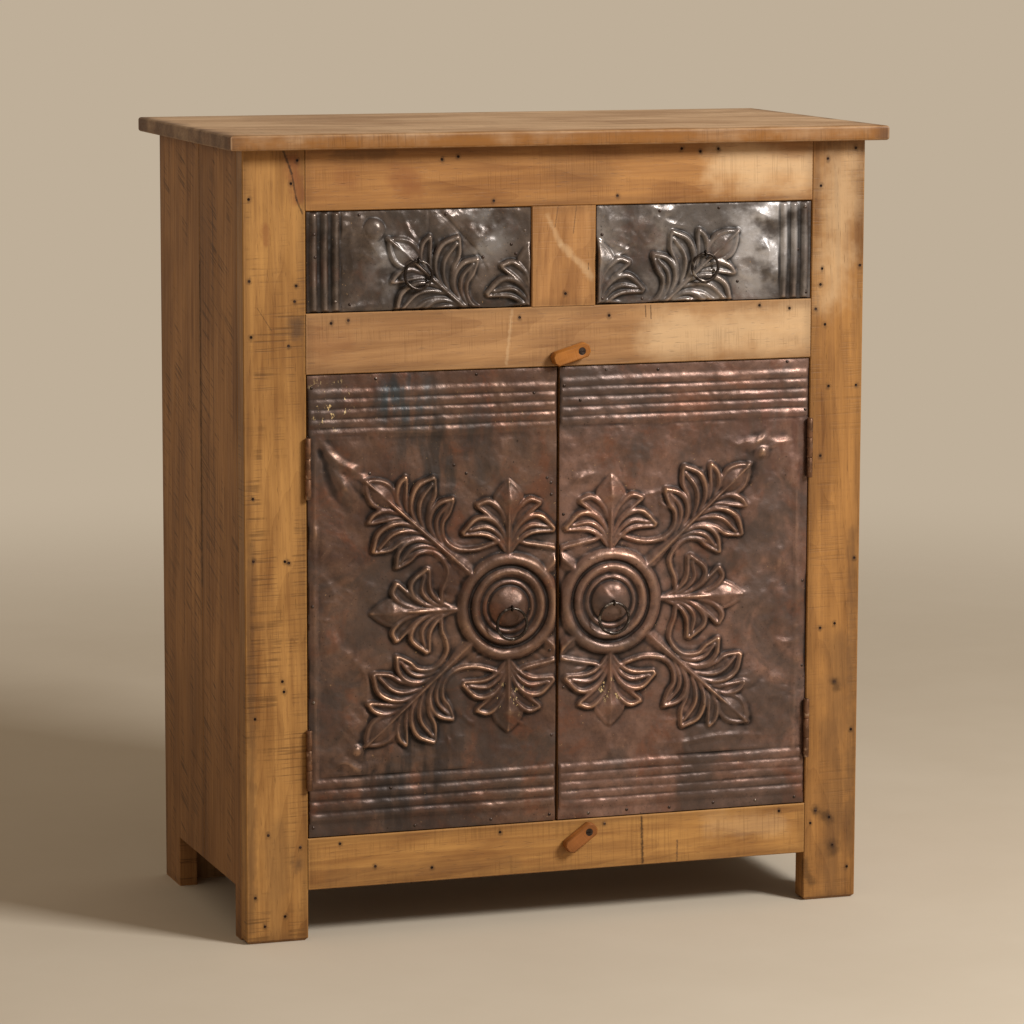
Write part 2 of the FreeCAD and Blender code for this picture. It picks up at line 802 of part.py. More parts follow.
def acanthus(up, mirror):
    slant = radians(size("acanthus_slant"))
    ends = [(size(end) * cos(slant), up * size(end) * sin(slant))
            for end in ("acanthus_root", "acanthus_tip")]
    return leaf(*ends, size("acanthus_reach"), ACANTHUS, ACANTHUS_END, ACANTHUS_STALK,
                ACANTHUS_STALK_WIDTH, mirror)


def spray_pattern(mirror):
    """All that the die presses about one medallion."""
    forms = [medallion()]
    forms += palmette((size("side_palmette_root"), 0), (size("side_palmette_tip"), 0),
                      size("side_palmette_reach"), mirror)
    for up in (1, -1):
        forms += palmette((0, up * size("palmette_root")), (0, up * size("palmette_tip")),
                          size("palmette_reach"), mirror)
        forms += acanthus(up, mirror)
        for tendril in TENDRILS:
            bent = [(out, up * rise) for out, rise in tendril]
            forms.append(stem(bent, TENDRIL_WIDTH, mirror))
    return forms


def tin_sheet(name, x, z, centre, forms, ribs, holes):
    """Sheet tin cut to its board, with the pressed forms that fall on it."""
    wide, high = value(less(x[1], x[0])), value(less(z[1], z[0]))
    origin = Vector(value(x[0]), value(tin_front), value(z[0]))
    middle = Vector(value(centre[0]), origin.y, value(centre[1])) - origin
    over = 2 * size("dome_height")
    window = Part.makeBox(wide, over + size("tin_thickness"), high, Vector(0, -over, 0))
    raised = []
    for form in forms:
        form.translate(middle)
        raised += form.common(window).Solids
    whole = Part.makeBox(wide, size("tin_thickness"), high).multiFuse(raised + ribs)
    for hole in holes:
        whole = whole.cut(hole.translated(-origin))
    tin = document.addObject("Part::Feature", name)
    tin.Shape = whole.removeSplitter()
    tin.Placement = Placement(origin, Rotation())
    return tin


# ---------------------------------------------------------------- ring pulls
WIRE_SIDE_COUNT = 8
HOOP_FLAT_COUNT = 24
EYE_FLAT_COUNT = 12


def polygon(name, sides, radius):
    drawn = document.addObject("Part::RegularPolygon", name)
    drawn.Polygon = sides
    drawn.setExpression("Circumradius", str(radius))
    return drawn


def bent_wire(name, flats, radius, wire_radius, facing, x, y, z):
    """Wire bent into a closed ring: its section swept round, mitred at each flat."""
    path = polygon(f"{name}_path", flats, radius)
    section = polygon(f"{name}_section", WIRE_SIDE_COUNT, wire_radius)
    section.Placement = Placement(Vector(), Rotation(Vector(0, 0, 1), Vector(0, 1, 0)))
    section.setExpression("Placement.Base.x", str(radius))
    ring = document.addObject("Part::Sweep", name)
    ring.Sections = [section]
    ring.Spine = (path, [f"Edge{index + 1}" for index in range(flats)])
    ring.Solid = True
    ring.Frenet = False
    ring.Transition = "Right corner"
    ring.Placement = Placement(Vector(), Rotation(Vector(0, 0, 1), facing))
    place(ring, x, y, z)
    return ring


def wire_bar(name, radius, length, x, y, z):
    """A straight length of the same wire, driven towards the back."""
    bar = document.addObject("Part::Prism", name)
    bar.Polygon = WIRE_SIDE_COUNT
    bar.setExpression("Circumradius", str(radius))
    bar.setExpression("Height", str(length))
    bar.Placement = Placement(Vector(), Rotation(Vector(0, 0, 1), Vector(0, 1, 0)))
    place(bar, x, y, z)
    return bar


def ring_pull(node, x, z, seat, ring_radius):
    """An iron eye driven in through the tin, and the ring that hangs in it."""
    eye_y = less(seat, S.eye_standoff)
    loop = bent_wire(f"{node}_loop", EYE_FLAT_COUNT, S.eye_radius, S.eye_wire_radius,
                     Vector(1, 0, 0), x, eye_y, z)
    start = add(eye_y, S.eye_radius)
    shank = wire_bar(f"{node}_shank", S.eye_wire_radius,
                     less(add(core_front, S.shank_length), start), x, start, z)
    keep(f"{node}_eye", fused(f"{node}_eye_body", [loop, shank]))
    hang = less(S.eye_radius, S.eye_wire_radius, S.ring_wire_radius, S.eye_play)
    keep(f"{node}_ring", bent_wire(f"{node}_hoop", HOOP_FLAT_COUNT, ring_radius, S.ring_wire_radius,
                                   Vector(0, 1, 0), x, eye_y, less(z, hang, ring_radius)))


def shank_hole(name, x, z, start):
    """The hole that an eye's shank is driven through, from before the tin to its end."""
    return wire_bar(name, add(S.eye_wire_radius, S.shank_clearance),
                    less(add(core_front, S.shank_length, S.shank_clearance), start), x, start, z)


# ---------------------------------------------------------------- doors
eye_seat = {"door": less(tin_front, S.dome_height), "drawer": less(tin_front, S.leaf_height)}
SIDES = (("left", -1), ("right", 1))


def shapes(features):
    """The finished shapes of cutting tools, for a sheet that is cut in the document's frame."""
    document.recompute()
    return [feature.Shape for feature in features]


for side, mirror in SIDES:
    x = door_x[side]
    centre = (medallion_x[side], medallion_z)
    core = board(f"{side}_door_core", x, (core_front, core_back), door_z)
    hole = shank_hole(f"{side}_door_pull_hole", *centre, eye_seat["door"])
    housings = mortises(f"{side}_door", side, opposite(side))
    keep(f"{side}_door_panel", cut(f"{side}_door_panel_cut", core, housings + [hole]))

    batten_x = (add(x[0], S.batten_end_gap), less(x[1], S.batten_end_gap))
    batten_y = (core_back, add(core_back, S.batten_thickness))
    batten_lows = {
        "lower": add(door_z[0], S.batten_inset),
        "upper": less(door_z[1], S.batten_inset, S.batten_width),
    }
    battens = [
        board(f"{side}_{level}_batten", batten_x, batten_y, (low, add(low, S.batten_width)),
              grain="x")
        for level, low in batten_lows.items()
    ]
    keep(f"{side}_door_battens", group(f"{side}_batten_pair", battens))

    wide, high = value(less(x[1], x[0])), value(less(door_z[1], door_z[0]))
    levels = [high - size(f"{side}_upper_first_rib") - index * size("upper_rib_pitch")
              for index in range(int(size("upper_rib_count")))]
    levels += [size(f"{side}_lower_first_rib") + index * size(f"{side}_lower_rib_pitch")
               for index in range(int(size(f"{side}_lower_rib_count")))]
    ribs = [bead(Vector(0, 0, level), Vector(wide, 0, 0)) for level in levels]
    forms = spray_pattern(mirror)
    forms.append(cap(size(f"{side}_stud_out"), size(f"{side}_stud_up"), size("stud_radius"),
                     size("stud_height"), mirror))
    barrel_rooms = [
        prism(f"{side}_{level}_barrel_room", add(S.hinge_knuckle_radius, S.hinge_play),
              S.hinge_length, hinge_x[side], hinge_y, height)
        for level, height in hinge_heights.items()
    ]
    tin = tin_sheet(f"{side}_door_tin_sheet", x, door_z, centre, forms, ribs,
                    shapes(housings + barrel_rooms + [hole]))
    keep(f"{side}_door_tin", tin)
    ring_pull(f"{side}_door", *centre, eye_seat["door"], S.door_ring_radius)

# ---------------------------------------------------------------- drawers
drawer_x = {"left": (opening_left, mullion_left), "right": (mullion_right, opening_right)}
face_z = (add(drawer_opening_bottom, S.drawer_reveal), less(drawer_opening_top, S.drawer_reveal))
drawer_front_back = add(core_front, S.drawer_front_thickness)
drawer_end = less(rear_frame_front, S.drawer_back_gap)
groove_z = (add(drawer_under, S.drawer_bottom_rise),
            add(drawer_under, S.drawer_bottom_rise, S.drawer_bottom_thickness))
pull_offset = {"left": S.left_drawer_pull_offset, "right": S.right_drawer_pull_offset}
pull_z = add(drawer_opening_bottom, S.drawer_pull_height)
spray_centre = {
    "left": (add(mullion_left, S.left_drawer_spray_shift),
             less(drawer_opening_bottom, S.drawer_spray_drop)),
    "right": (add(mullion_right, S.right_drawer_spray_shift),
              less(drawer_opening_bottom, S.drawer_spray_drop)),
}

for side, mirror in SIDES:
    node = f"{side}_drawer"
    opening = drawer_x[side]
    face_x = (add(opening[0], S.drawer_reveal), less(opening[1], S.drawer_reveal))
    box_x = (add(opening[0], S.drawer_side_gap), less(opening[1], S.drawer_side_gap))
    pull_x = add(half(add(opening[0], opening[1])), pull_offset[side])

    inner_x = (add(box_x[0], S.drawer_side_thickness), less(box_x[1], S.drawer_side_thickness))
    groove_x = (less(inner_x[0], S.groove_depth), add(inner_x[1], S.groove_depth))
    bottom_x = (add(groove_x[0], S.groove_play), less(groove_x[1], S.groove_play))
    side_z = (drawer_under, add(drawer_under, S.drawer_side_height))
    side_y = (drawer_front_back, drawer_end)
    groove_front = less(drawer_front_back, S.groove_depth)

    front_board = board(f"{node}_front_board", face_x, (core_front, drawer_front_back), face_z)
    front_groove = box(f"{node}_front_groove", groove_x, (groove_front, drawer_front_back), groove_z)
    hole = shank_hole(f"{node}_pull_hole", pull_x, pull_z, eye_seat["drawer"])
    keep(f"{node}_front", cut(f"{node}_front_cut", front_board, [front_groove, hole]))

    sides = []
    for hand, span in (("outer", (box_x[0], inner_x[0])), ("inner", (inner_x[1], box_x[1]))):
        plank = board(f"{node}_{hand}_side_board", span, side_y, side_z)
        groove = box(f"{node}_{hand}_groove", groove_x, side_y, groove_z)
        sides.append(cut(f"{node}_{hand}_side", plank, [groove]))
    keep(f"{node}_sides", group(f"{node}_side_pair", sides))
    keep(f"{node}_back", board(f"{node}_back_board", inner_x,
                               (less(drawer_end, S.drawer_side_thickness), drawer_end),
                               (groove_z[1], side_z[1])))
    keep(f"{node}_bottom", board(
        f"{node}_bottom_board", bottom_x, (add(groove_front, S.groove_play), drawer_end),
        groove_z))

    wide, high = value(less(face_x[1], face_x[0])), value(less(face_z[1], face_z[0]))
    ribs = []
    for index in range(int(size("drawer_rib_count"))):
        inset = size("drawer_rib_inset") + index * size("drawer_rib_pitch")
        across = inset if side == "left" else wide - inset
        ribs.append(bead(Vector(across, 0, 0), Vector(0, 0, high)))
    forms = spray_pattern(mirror)
    if side == "left":
        forms.append(cap(size("boss_out"), size("boss_up"), size("boss_radius"),
                         size("boss_height"), mirror))
    tin = tin_sheet(f"{node}_tin_sheet", face_x, face_z, spray_centre[side], forms, ribs,
                    shapes([hole]))
    keep(f"{node}_tin", tin)
    ring_pull(node, pull_x, pull_z, eye_seat["drawer"], S.drawer_ring_radius)

# ---------------------------------------------------------------- turn buttons
button_back = less(front, S.washer_thickness)
button_front = less(button_back, S.button_thickness)
buttons = {
    "upper": (upper_screw, S.upper_button_far, S.upper_button_turn),
    "lower": (lower_screw, S.lower_button_far, S.lower_button_turn),
}
screws = []
washers = []
for level, (screw, far, turn) in buttons.items():
    name = f"{level}_turn_button"
    half_width = half(S.button_width)
    corner = S.button_corner
    near = f"(-{S.button_near})"
    low = f"(-{half_width})"
    corners = [
        (add(near, corner), low), (less(far, corner), low), (far, add(low, corner)),
        (far, less(half_width, corner)), (less(far, corner), half_width),
        (add(near, corner), half_width), (near, less(half_width, corner)),
        (near, add(low, corner)),
    ]
    blank = padded(f"{name}_blank", "XY_Plane", corners, S.button_thickness)
    dress(blank, "Chamfer", S.button_arris,
          lambda edge: min(vertex.Z for vertex in edge.Vertexes) > 1)
    bore = document.addObject("Part::Cylinder", f"{name}_bore")
    bore.setExpression("Radius", add(S.screw_radius, S.screw_clearance))
    bore.setExpression("Height", S.button_thickness)
    sink = document.addObject("Part::Cone", f"{name}_sink")
    sink.setExpression("Radius1", add(S.screw_radius, S.screw_clearance))
    sink.setExpression("Radius2", add(S.screw_head_radius, S.screw_clearance))
    sink.setExpression("Height", S.screw_head_height)
    sink.setExpression("Placement.Base.z", less(S.button_thickness, S.screw_head_height))
    button = cut(f"{name}_body", blank, [bore, sink])
    # the blank is drawn flat: its face turns to the front and its long end to the left, then down
    lay = Rotation(Vector(1, 0, 0), 90).multiply(Rotation(Vector(0, 0, 1), 180 + value(turn)))
    button.Placement = Placement(Vector(), lay)
    place(button, screw[0], button_back, screw[1])
    keep(name, button)

    head = document.addObject("Part::Cone", f"{name}_screw_head")
    head.setExpression("Radius1", S.screw_radius)
    head.setExpression("Radius2", S.screw_head_radius)
    head.setExpression("Height", S.screw_head_height)
    head.Placement = Placement(Vector(), Rotation(Vector(0, 0, 1), Vector(0, -1, 0)))
    place(head, screw[0], add(button_front, S.screw_head_height), screw[1])
    shank = rod(f"{name}_screw_shank", S.screw_radius, less(S.screw_length, S.screw_head_height),
                screw[0], add(button_front, S.screw_head_height), screw[1],
                towards=Vector(0, 1, 0))
    half_slot = half(S.screw_slot)
    slot = box(f"{name}_screw_slot",
               (less(screw[0], S.screw_head_radius), add(screw[0], S.screw_head_radius)),
               (button_front, add(button_front, S.screw_slot)),
               (less(screw[1], half_slot), add(screw[1], half_slot)))
    screws.append(cut(f"{name}_screw", fused(f"{name}_screw_blank", [head, shank]), [slot]))

    disc = rod(f"{name}_washer_disc", S.washer_radius, S.washer_thickness,
               screw[0], button_back, screw[1], towards=Vector(0, 1, 0))
    eyelet = rod(f"{name}_washer_hole", add(S.screw_radius, S.screw_clearance),
                 S.washer_thickness, screw[0], button_back, screw[1], towards=Vector(0, 1, 0))
    washers.append(cut(f"{name}_washer", disc, [eyelet]))
keep("button_screws", group("button_screw_pair", screws))
keep("button_washers", group("button_washer_pair", washers))

# ---------------------------------------------------------------- check and write
document.recompute()
failed = [item.Name for item in document.Objects
          if "Invalid" in item.State or "Error" in item.State]
if failed:
    raise RuntimeError(f"features that failed: {failed}")
for node, feature in parts.items():
    if feature.Shape.isNull() or not feature.Shape.isValid():
        raise RuntimeError(f"{node} has no valid shape")

os.makedirs("parts", exist_ok=True)
for node, feature in parts.items():
    feature.Shape.exportStep(f"parts/{node}.step")
print(f"{len(parts)} nodes written")
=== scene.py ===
"""The looks of a pie safe: waxed old planks, doors and drawers faced in pressed tin."""

import bpy
import numpy as np
from functools import partialmethod
from math import cos, pi, radians, sin
from mathutils import Euler, Matrix, Vector


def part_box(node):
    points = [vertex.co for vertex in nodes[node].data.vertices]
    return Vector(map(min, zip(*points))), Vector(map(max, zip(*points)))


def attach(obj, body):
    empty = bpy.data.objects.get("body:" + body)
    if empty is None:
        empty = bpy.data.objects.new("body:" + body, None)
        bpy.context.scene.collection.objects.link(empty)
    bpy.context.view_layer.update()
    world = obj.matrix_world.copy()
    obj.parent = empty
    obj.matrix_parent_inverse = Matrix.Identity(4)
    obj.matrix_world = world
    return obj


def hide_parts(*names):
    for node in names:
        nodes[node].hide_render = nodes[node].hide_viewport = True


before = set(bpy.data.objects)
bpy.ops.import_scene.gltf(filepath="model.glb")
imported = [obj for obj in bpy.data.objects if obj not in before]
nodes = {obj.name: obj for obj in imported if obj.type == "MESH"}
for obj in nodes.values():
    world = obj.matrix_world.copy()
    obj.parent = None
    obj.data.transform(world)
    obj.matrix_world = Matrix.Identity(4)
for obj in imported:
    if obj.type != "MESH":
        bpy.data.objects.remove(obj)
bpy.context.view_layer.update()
bpy.ops.object.select_all(action="DESELECT")
MM = 0.001

# ================================================================ studio
# A pale floor that fades into a beige backdrop, one large soft lamp from the right and
# a plain even sky.  The camera stands a little to the left, well back, with a long lens.
def paint(red, green, blue):
    """A colour given as 0-255 screen values, as the shaders want it."""
    linear = [((c / 255 + 0.055) / 1.055) ** 2.4 if c > 10 else c / 255 / 12.92
              for c in (red, green, blue)]
    return (*linear, 1)


def set_inputs(node, values):
    """Sets a node's inputs, each to a value or by a link from a field or a socket."""
    for name, given in values.items():
        given = getattr(given, "socket", given)
        if isinstance(given, bpy.types.NodeSocket):
            node.id_data.links.new(given, node.inputs[name])
        else:
            node.inputs[name].default_value = given


def add_node(tree, kind, values=None, **settings):
    """A shader node with its settings and its inputs."""
    made = tree.nodes.new(f"ShaderNode{kind}")
    for name, setting in settings.items():
        setattr(made, name, setting)
    set_inputs(made, values or {})
    return made


class Field:
    """What varies over a surface: a node's output, on which arithmetic adds math nodes."""

    def __init__(self, socket):
        self.socket = socket

    def made(self, kind, values, output=0, **settings):
        """The output of a further node in this field's tree."""
        return Field(add_node(self.socket.id_data, kind, values, **settings).outputs[output])

    def math(self, operation, *others, **settings):
        """This field and others in a Math node, or a vector in a Vector Math node."""
        kind = "VectorMath" if self.socket.type == "VECTOR" else "Math"
        output = 1 if operation in ("LENGTH", "DISTANCE", "DOT_PRODUCT") else 0
        return self.made(kind, dict(enumerate((self, *others))), output,
                         operation=operation, **settings)

    __add__ = partialmethod(math, "ADD")
    __sub__ = partialmethod(math, "SUBTRACT")
    __mul__ = partialmethod(math, "MULTIPLY")
    __truediv__ = partialmethod(math, "DIVIDE")

    def parts(self):
        """A vector's X, Y and Z."""
        made = add_node(self.socket.id_data, "SeparateXYZ", {0: self})
        return [Field(output) for output in made.outputs]

    def turned(self, angles):
        """Coordinates turned by Euler angles."""
        return self.made("VectorRotate", {"Vector": self, "Rotation": angles},
                         rotation_type="EULER_XYZ")

    def noise(self, scale=1.0, detail=2.0, roughness=0.5, distortion=0.0):
        """A noise over coordinates."""
        return self.made("TexNoise", {"Vector": self, "Scale": scale, "Detail": detail,
                                      "Roughness": roughness, "Distortion": distortion})

    def spread(self, low, high, to_low=0.0, to_high=1.0):
        """Maps low..high smoothly onto another range."""
        return self.made("MapRange", {"Value": self, "From Min": low, "From Max": high,
                                      "To Min": to_low, "To Max": to_high},
                         interpolation_type="SMOOTHSTEP")

    def blend(self, first, second):
        """Two colours mixed, this field being the second one's share."""
        return self.made("Mix", {0: self, 6: first, 7: second}, 2, data_type="RGBA")

    def bumped(self, strength, distance):
        """A normal from this field as a height, its distance in mm."""
        return self.made("Bump", {"Height": self, "Strength": strength,
                                  "Distance": distance * MM})


def new_material(name):
    """A material, its Principled shader and its object coordinates."""
    made = bpy.data.materials.new(name)
    made.use_nodes = True
    shader = next(n for n in made.node_tree.nodes if n.type == "BSDF_PRINCIPLED")
    return made, shader, Field(add_node(made.node_tree, "TexCoord").outputs["Object"])


BACKDROP = paint(191, 175, 153)
CANVAS_LIGHT, CANVAS_DARK = paint(192, 178, 158), paint(204, 191, 172)
FLOOR_REACH, FLOOR_FADE = 9.0, (1.3, 3.8)
bpy.ops.mesh.primitive_circle_add(vertices=96, radius=FLOOR_REACH, fill_type="NGON")
floor = bpy.context.object
floor.name = "floor"
canvas, shader, place = new_material("floor_canvas")
set_inputs(shader, {
    "Base Color": place.noise(3.0, 5.0, 0.6).blend(CANVAS_LIGHT, CANVAS_DARK),
    "Roughness": 0.9, "Specular IOR Level": 0.1,
    "Alpha": place.math("LENGTH").spread(*FLOOR_FADE, 1.0, 0.0)})
floor.data.materials.append(canvas)

SKY_TINT, SKY_STRENGTH = (1.0, 0.84, 0.66, 1), 0.37
world = bpy.data.worlds.new("studio")
bpy.context.scene.world = world
world.use_nodes = True
tree = world.node_tree
tree.nodes.clear()
rays = add_node(tree, "LightPath").outputs
seen_directly = Field(rays["Is Camera Ray"]).math("ADD", rays["Is Transmission Ray"],
                                                  use_clamp=True)
sky = add_node(tree, "Background", {"Color": SKY_TINT, "Strength": SKY_STRENGTH})
wall = add_node(tree, "Background", {"Color": BACKDROP, "Strength": 1.0})
either = add_node(tree, "MixShader", {0: seen_directly, 1: sky.outputs[0], 2: wall.outputs[0]})
add_node(tree, "OutputWorld", {0: either.outputs[0]})

SUBJECT, KEY_PLACE = Vector((0, -0.1, 0.5)), Vector((2.16, -2.85, 2.85))
KEY_SIZE, KEY_POWER, KEY_TINT = 1.1, 186, (0.985, 0.99, 0.985)
key = bpy.data.objects.new("key_lamp", bpy.data.lights.new("key_lamp", "AREA"))
key.data.size, key.data.energy, key.data.color = KEY_SIZE, KEY_POWER, KEY_TINT
bpy.context.scene.collection.objects.link(key)
key.location = KEY_PLACE
key.rotation_euler = (SUBJECT - KEY_PLACE).to_track_quat("-Z", "Y").to_euler()

LENS, SENSOR_WIDTH, FURTHEST = 147.17, 36, 60
CAMERA_PLACE = (-1.73728, -5.0775, 1.28464)
YAW, PITCH, ROLL = radians(-18.95), radians(-8.37), radians(0.16)
camera = bpy.data.objects.new("camera", bpy.data.cameras.new("camera"))
camera.data.lens, camera.data.sensor_width, camera.data.clip_end = LENS, SENSOR_WIDTH, FURTHEST
bpy.context.scene.collection.objects.link(camera)
bpy.context.scene.camera = camera
turned = Euler((pi / 2 + PITCH, 0, YAW)).to_matrix() @ Matrix.Rotation(ROLL, 3, "Z")
camera.matrix_world = Matrix.Translation(CAMERA_PLACE) @ turned.to_4x4()
bpy.context.scene.view_settings.view_transform = "Standard"

# ================================================================ face frame
# Stiles, rails and mullion are old sawn boards, planed by hand and waxed honey brown.
# Saw marks, nail stains and dark arrises show through the wax; broad pale patches towards the right
# are painted sheen.
def new_group(name, inputs):
    """A shader node group with named inputs: the group, then each input as a field."""
    group = bpy.data.node_groups.new(name, "ShaderNodeTree")
    for label, kind in inputs.items():
        group.interface.new_socket(label, in_out="INPUT", socket_type=f"NodeSocket{kind}")
    given = group.nodes.new("NodeGroupInput").outputs
    return group, *(Field(given[label]) for label in inputs)


def put_out(group, results):
    """What a group puts out, each result with its name."""
    for label in results:
        group.interface.new_socket(label, in_out="OUTPUT", socket_type="NodeSocketFloat")
    set_inputs(group.nodes.new("NodeGroupOutput"), results)


def placed(group, values):
    """A group used in the tree of the coordinates that it is given: its results."""
    made = add_node(values["Vector"].socket.id_data, "Group", values, node_tree=group)
    return {output.name: Field(output) for output in made.outputs}


# rings about a pith, fibre, pores and clouding; X runs along the grain
plank_grain, along, ring_pitch = new_group("plank_grain",
                                           {"Vector": "Vector", "Ring Pitch": "Float"})
wander = (along * (1.6, 9, 9)).noise(1.0, 3.0)
_, across, inwards = along.parts()
from_pith = (across * across + inwards * inwards).math("SQRT")
year = from_pith / ring_pitch + wander * 7.0
put_out(plank_grain, {
    "Rings": year.math("FRACT").math("POWER", 2.2),
    "Fibre": (along * (7, 330, 330)).noise(1.0, 3.0, 0.6).spread(0.3, 0.7),
    "Pores": (along * (55, 900, 900)).noise(1.0, 1.0).spread(0.64, 0.76),
    "Streaks": (along * (3, 90, 90)).noise(1.0, 4.0, 0.6).spread(0.34, 0.66),
    "Clouds": (along * (5, 14, 14)).noise(1.0, 4.0, 0.55, 0.6)})

# saw marks across the grain, in patches
saw_marks, along, slant = new_group("saw_marks", {"Vector": "Vector", "Slant": "Vector"})
cuts = (along.turned(slant) * (380, 12, 12)).noise(1.0, 2.0, 0.6).spread(0.50, 0.66)
patches = (along * (6, 26, 26)).noise(1.0, 4.0, 0.6).spread(0.44, 0.60)
put_out(saw_marks, {"Marks": cuts * patches})

# a stroke from one place to another: 1 on its line and fading to 0 at its half width
stroke, place, start, run, width = new_group(
    "stroke", {"Vector": "Vector", "Start": "Vector", "Run": "Vector", "Width": "Float"})
RAGGED_SCALE = 0.7
from_start = place - start
share = from_start.math("DOT_PRODUCT", run).math("DIVIDE", run.math("DOT_PRODUCT", run),
                                                 use_clamp=True)
reached = run.made("VectorMath", {0: run, "Scale": share}, operation="SCALE")
to_width = width.made("Math", {0: RAGGED_SCALE, 1: width}, operation="DIVIDE")
ragged = place.noise(to_width, 4.0, 0.6)
off_line = from_start.math("DISTANCE", reached) / width + ragged.spread(0.3, 0.7, -0.3, 0.3)
put_out(stroke, {"Mask": off_line.spread(0.0, 1.1, 1.0, 0.0)})

# how near a point is to the board's edges: the arris itself, and a soft rim behind it
board_edges, place, low, high = new_group(
    "board_edges", {"Vector": "Vector", "Low": "Vector", "High": "Vector"})
first, second, third = (place - low).math("MINIMUM", high - place).parts()
smaller, larger = first.math("MINIMUM", second), first.math("MAXIMUM", second)
to_edge = smaller.math("MAXIMUM", larger.math("MINIMUM", third))
worn = to_edge + place.noise(60.0, 3.0, 0.6) * (-3 * MM)
put_out(board_edges, {"Arris": worn.spread(-0.6 * MM, 1.0 * MM, 1.0, 0.0),
                      "Rim": worn.spread(0.0, 14 * MM, 1.0, 0.0)})

ALONG_X, ALONG_Y, ALONG_Z = (0, 0, 0), (0, 0, -pi / 2), (0, pi / 2, 0)
PITH_LEAN = (0, 0.02, 0.03)
CLOUD_SHARE, STREAK_SHARE, FIBRE_SHARE = 0.46, 0.30, 0.20
PORE_SHARE, RIM_SHARE, ARRIS_SHARE = 0.35, 0.26, 0.16
DEEPER, BRIGHTER = 0.30, 1.4


def wood(name, node, grain, light, dark, pith=(0, 0.16, 0.03), ring_pitch=5 * MM, saw=0.35,
         slant=(0, 0, 0), rings=0.17, polish=0.42, marks=()):
    """A waxed board's material: its grain runs along one axis, its pith lies behind its face.

    Each mark is a stroke: its start and end in mm, its half width, its colour and strength.
    """
    made, shader, place = new_material(name)
    low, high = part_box(node)
    along = (place - (low + high) / 2).turned(grain).turned(PITH_LEAN) + pith
    grown = placed(plank_grain, {"Vector": along, "Ring Pitch": ring_pitch})
    sawn = placed(saw_marks, {"Vector": along, "Slant": slant})["Marks"]
    edges = placed(board_edges, {"Vector": place, "Low": low, "High": high})
    tone = grown["Clouds"].spread(0.32, 0.68) * CLOUD_SHARE
    for label, weight in (("Rings", rings), ("Streaks", STREAK_SHARE), ("Fibre", FIBRE_SHARE)):
        tone = tone.math("ADD", grown[label] * weight, use_clamp=True)
    colour = tone.blend(light, dark)
    for start, end, width, tint, strength in marks:
        start, end = Vector(start) * MM, Vector(end) * MM
        mask = placed(stroke, {"Vector": place, "Start": start, "Run": end - start,
                               "Width": width * MM})["Mask"]
        colour = (mask * strength).blend(colour, tint)
    deep = [channel * DEEPER for channel in dark[:3]] + [1]
    bright = [min(1, channel * BRIGHTER) for channel in light[:3]] + [1]
    colour = (sawn * saw).math("MAXIMUM", grown["Pores"] * PORE_SHARE).blend(colour, deep)
    colour = (edges["Rim"] * RIM_SHARE).blend(colour, deep)
    colour = (edges["Arris"] * ARRIS_SHARE).blend(colour, bright)
    relief = grown["Fibre"] * 0.3 - grown["Pores"].math("MAXIMUM", sawn)
    set_inputs(shader, {"Base Color": colour, "Roughness": grown["Fibre"] * 0.12 + polish,
                        "Specular IOR Level": 0.3, "Normal": relief.bumped(0.4, 0.3)})
    return made


def finish_node(node, made):
    """Gives a CAD node its material."""
    slots = nodes[node].data.materials
    slots.clear()
    slots.append(made)


SOOT, SMOKE, RED_PATCH = paint(34, 20, 10), paint(84, 60, 40), paint(128, 72, 36)
# the pale colour: painted sheen in the broad patches towards the frame's right, where the lamp's
# glow lies on the wax, and a pale streak in the wood in the thin line on the middle rail
PALE_SHEEN_AND_STREAK, BLEACHED = paint(224, 190, 146), paint(216, 182, 138)
FRONT = -202.0


def on_front(*marks):
    """Marks on the frame's face, given as x, z of start and end, width, colour, strength."""
    return [((x1, FRONT, z1), (x2, FRONT, z2), width, tint, strength)
            for x1, z1, x2, z2, width, tint, strength in marks]


NAILS = {
    "front_left_stile": (
        (-400, 922), (-398, 755), (-341, 816), (-343, 797), (-351, 743), (-400, 823), (-397, 557),
        (-352, 476), (-357, 478), (-397, 480), (-361, 329), (-359, 316), (-396, 284), (-380, 137),
        (-397, 59), (-385, 22), (-359, 33), (-339, 119), (-339, 968), (-347, 940)),
    "front_right_stile": (
        (348, 924), (357, 958), (395, 971), (351, 819), (403, 822), (349, 799), (343, 768),
        (356, 748), (352, 580), (362, 669), (400, 669), (355, 357), (375, 362), (376, 286),
        (401, 446), (400, 222), (371, 108), (352, 118), (376, 71), (397, 41), (345, 102)),
    "top_rail": (
        (-155, 966), (-134, 969), (208, 973), (159, 974), (184, 970), (-88, 914), (74, 917)),
    "middle_rail": (
        (-297, 769), (-275, 772), (-54, 769), (64, 768), (266, 775), (307, 770)),
    "bottom_rail": (
        (-288, 120), (-242, 88), (-168, 81), (-78, 120), (62, 121), (301, 121)),
    "drawer_mullion": ((6, 797),),
}
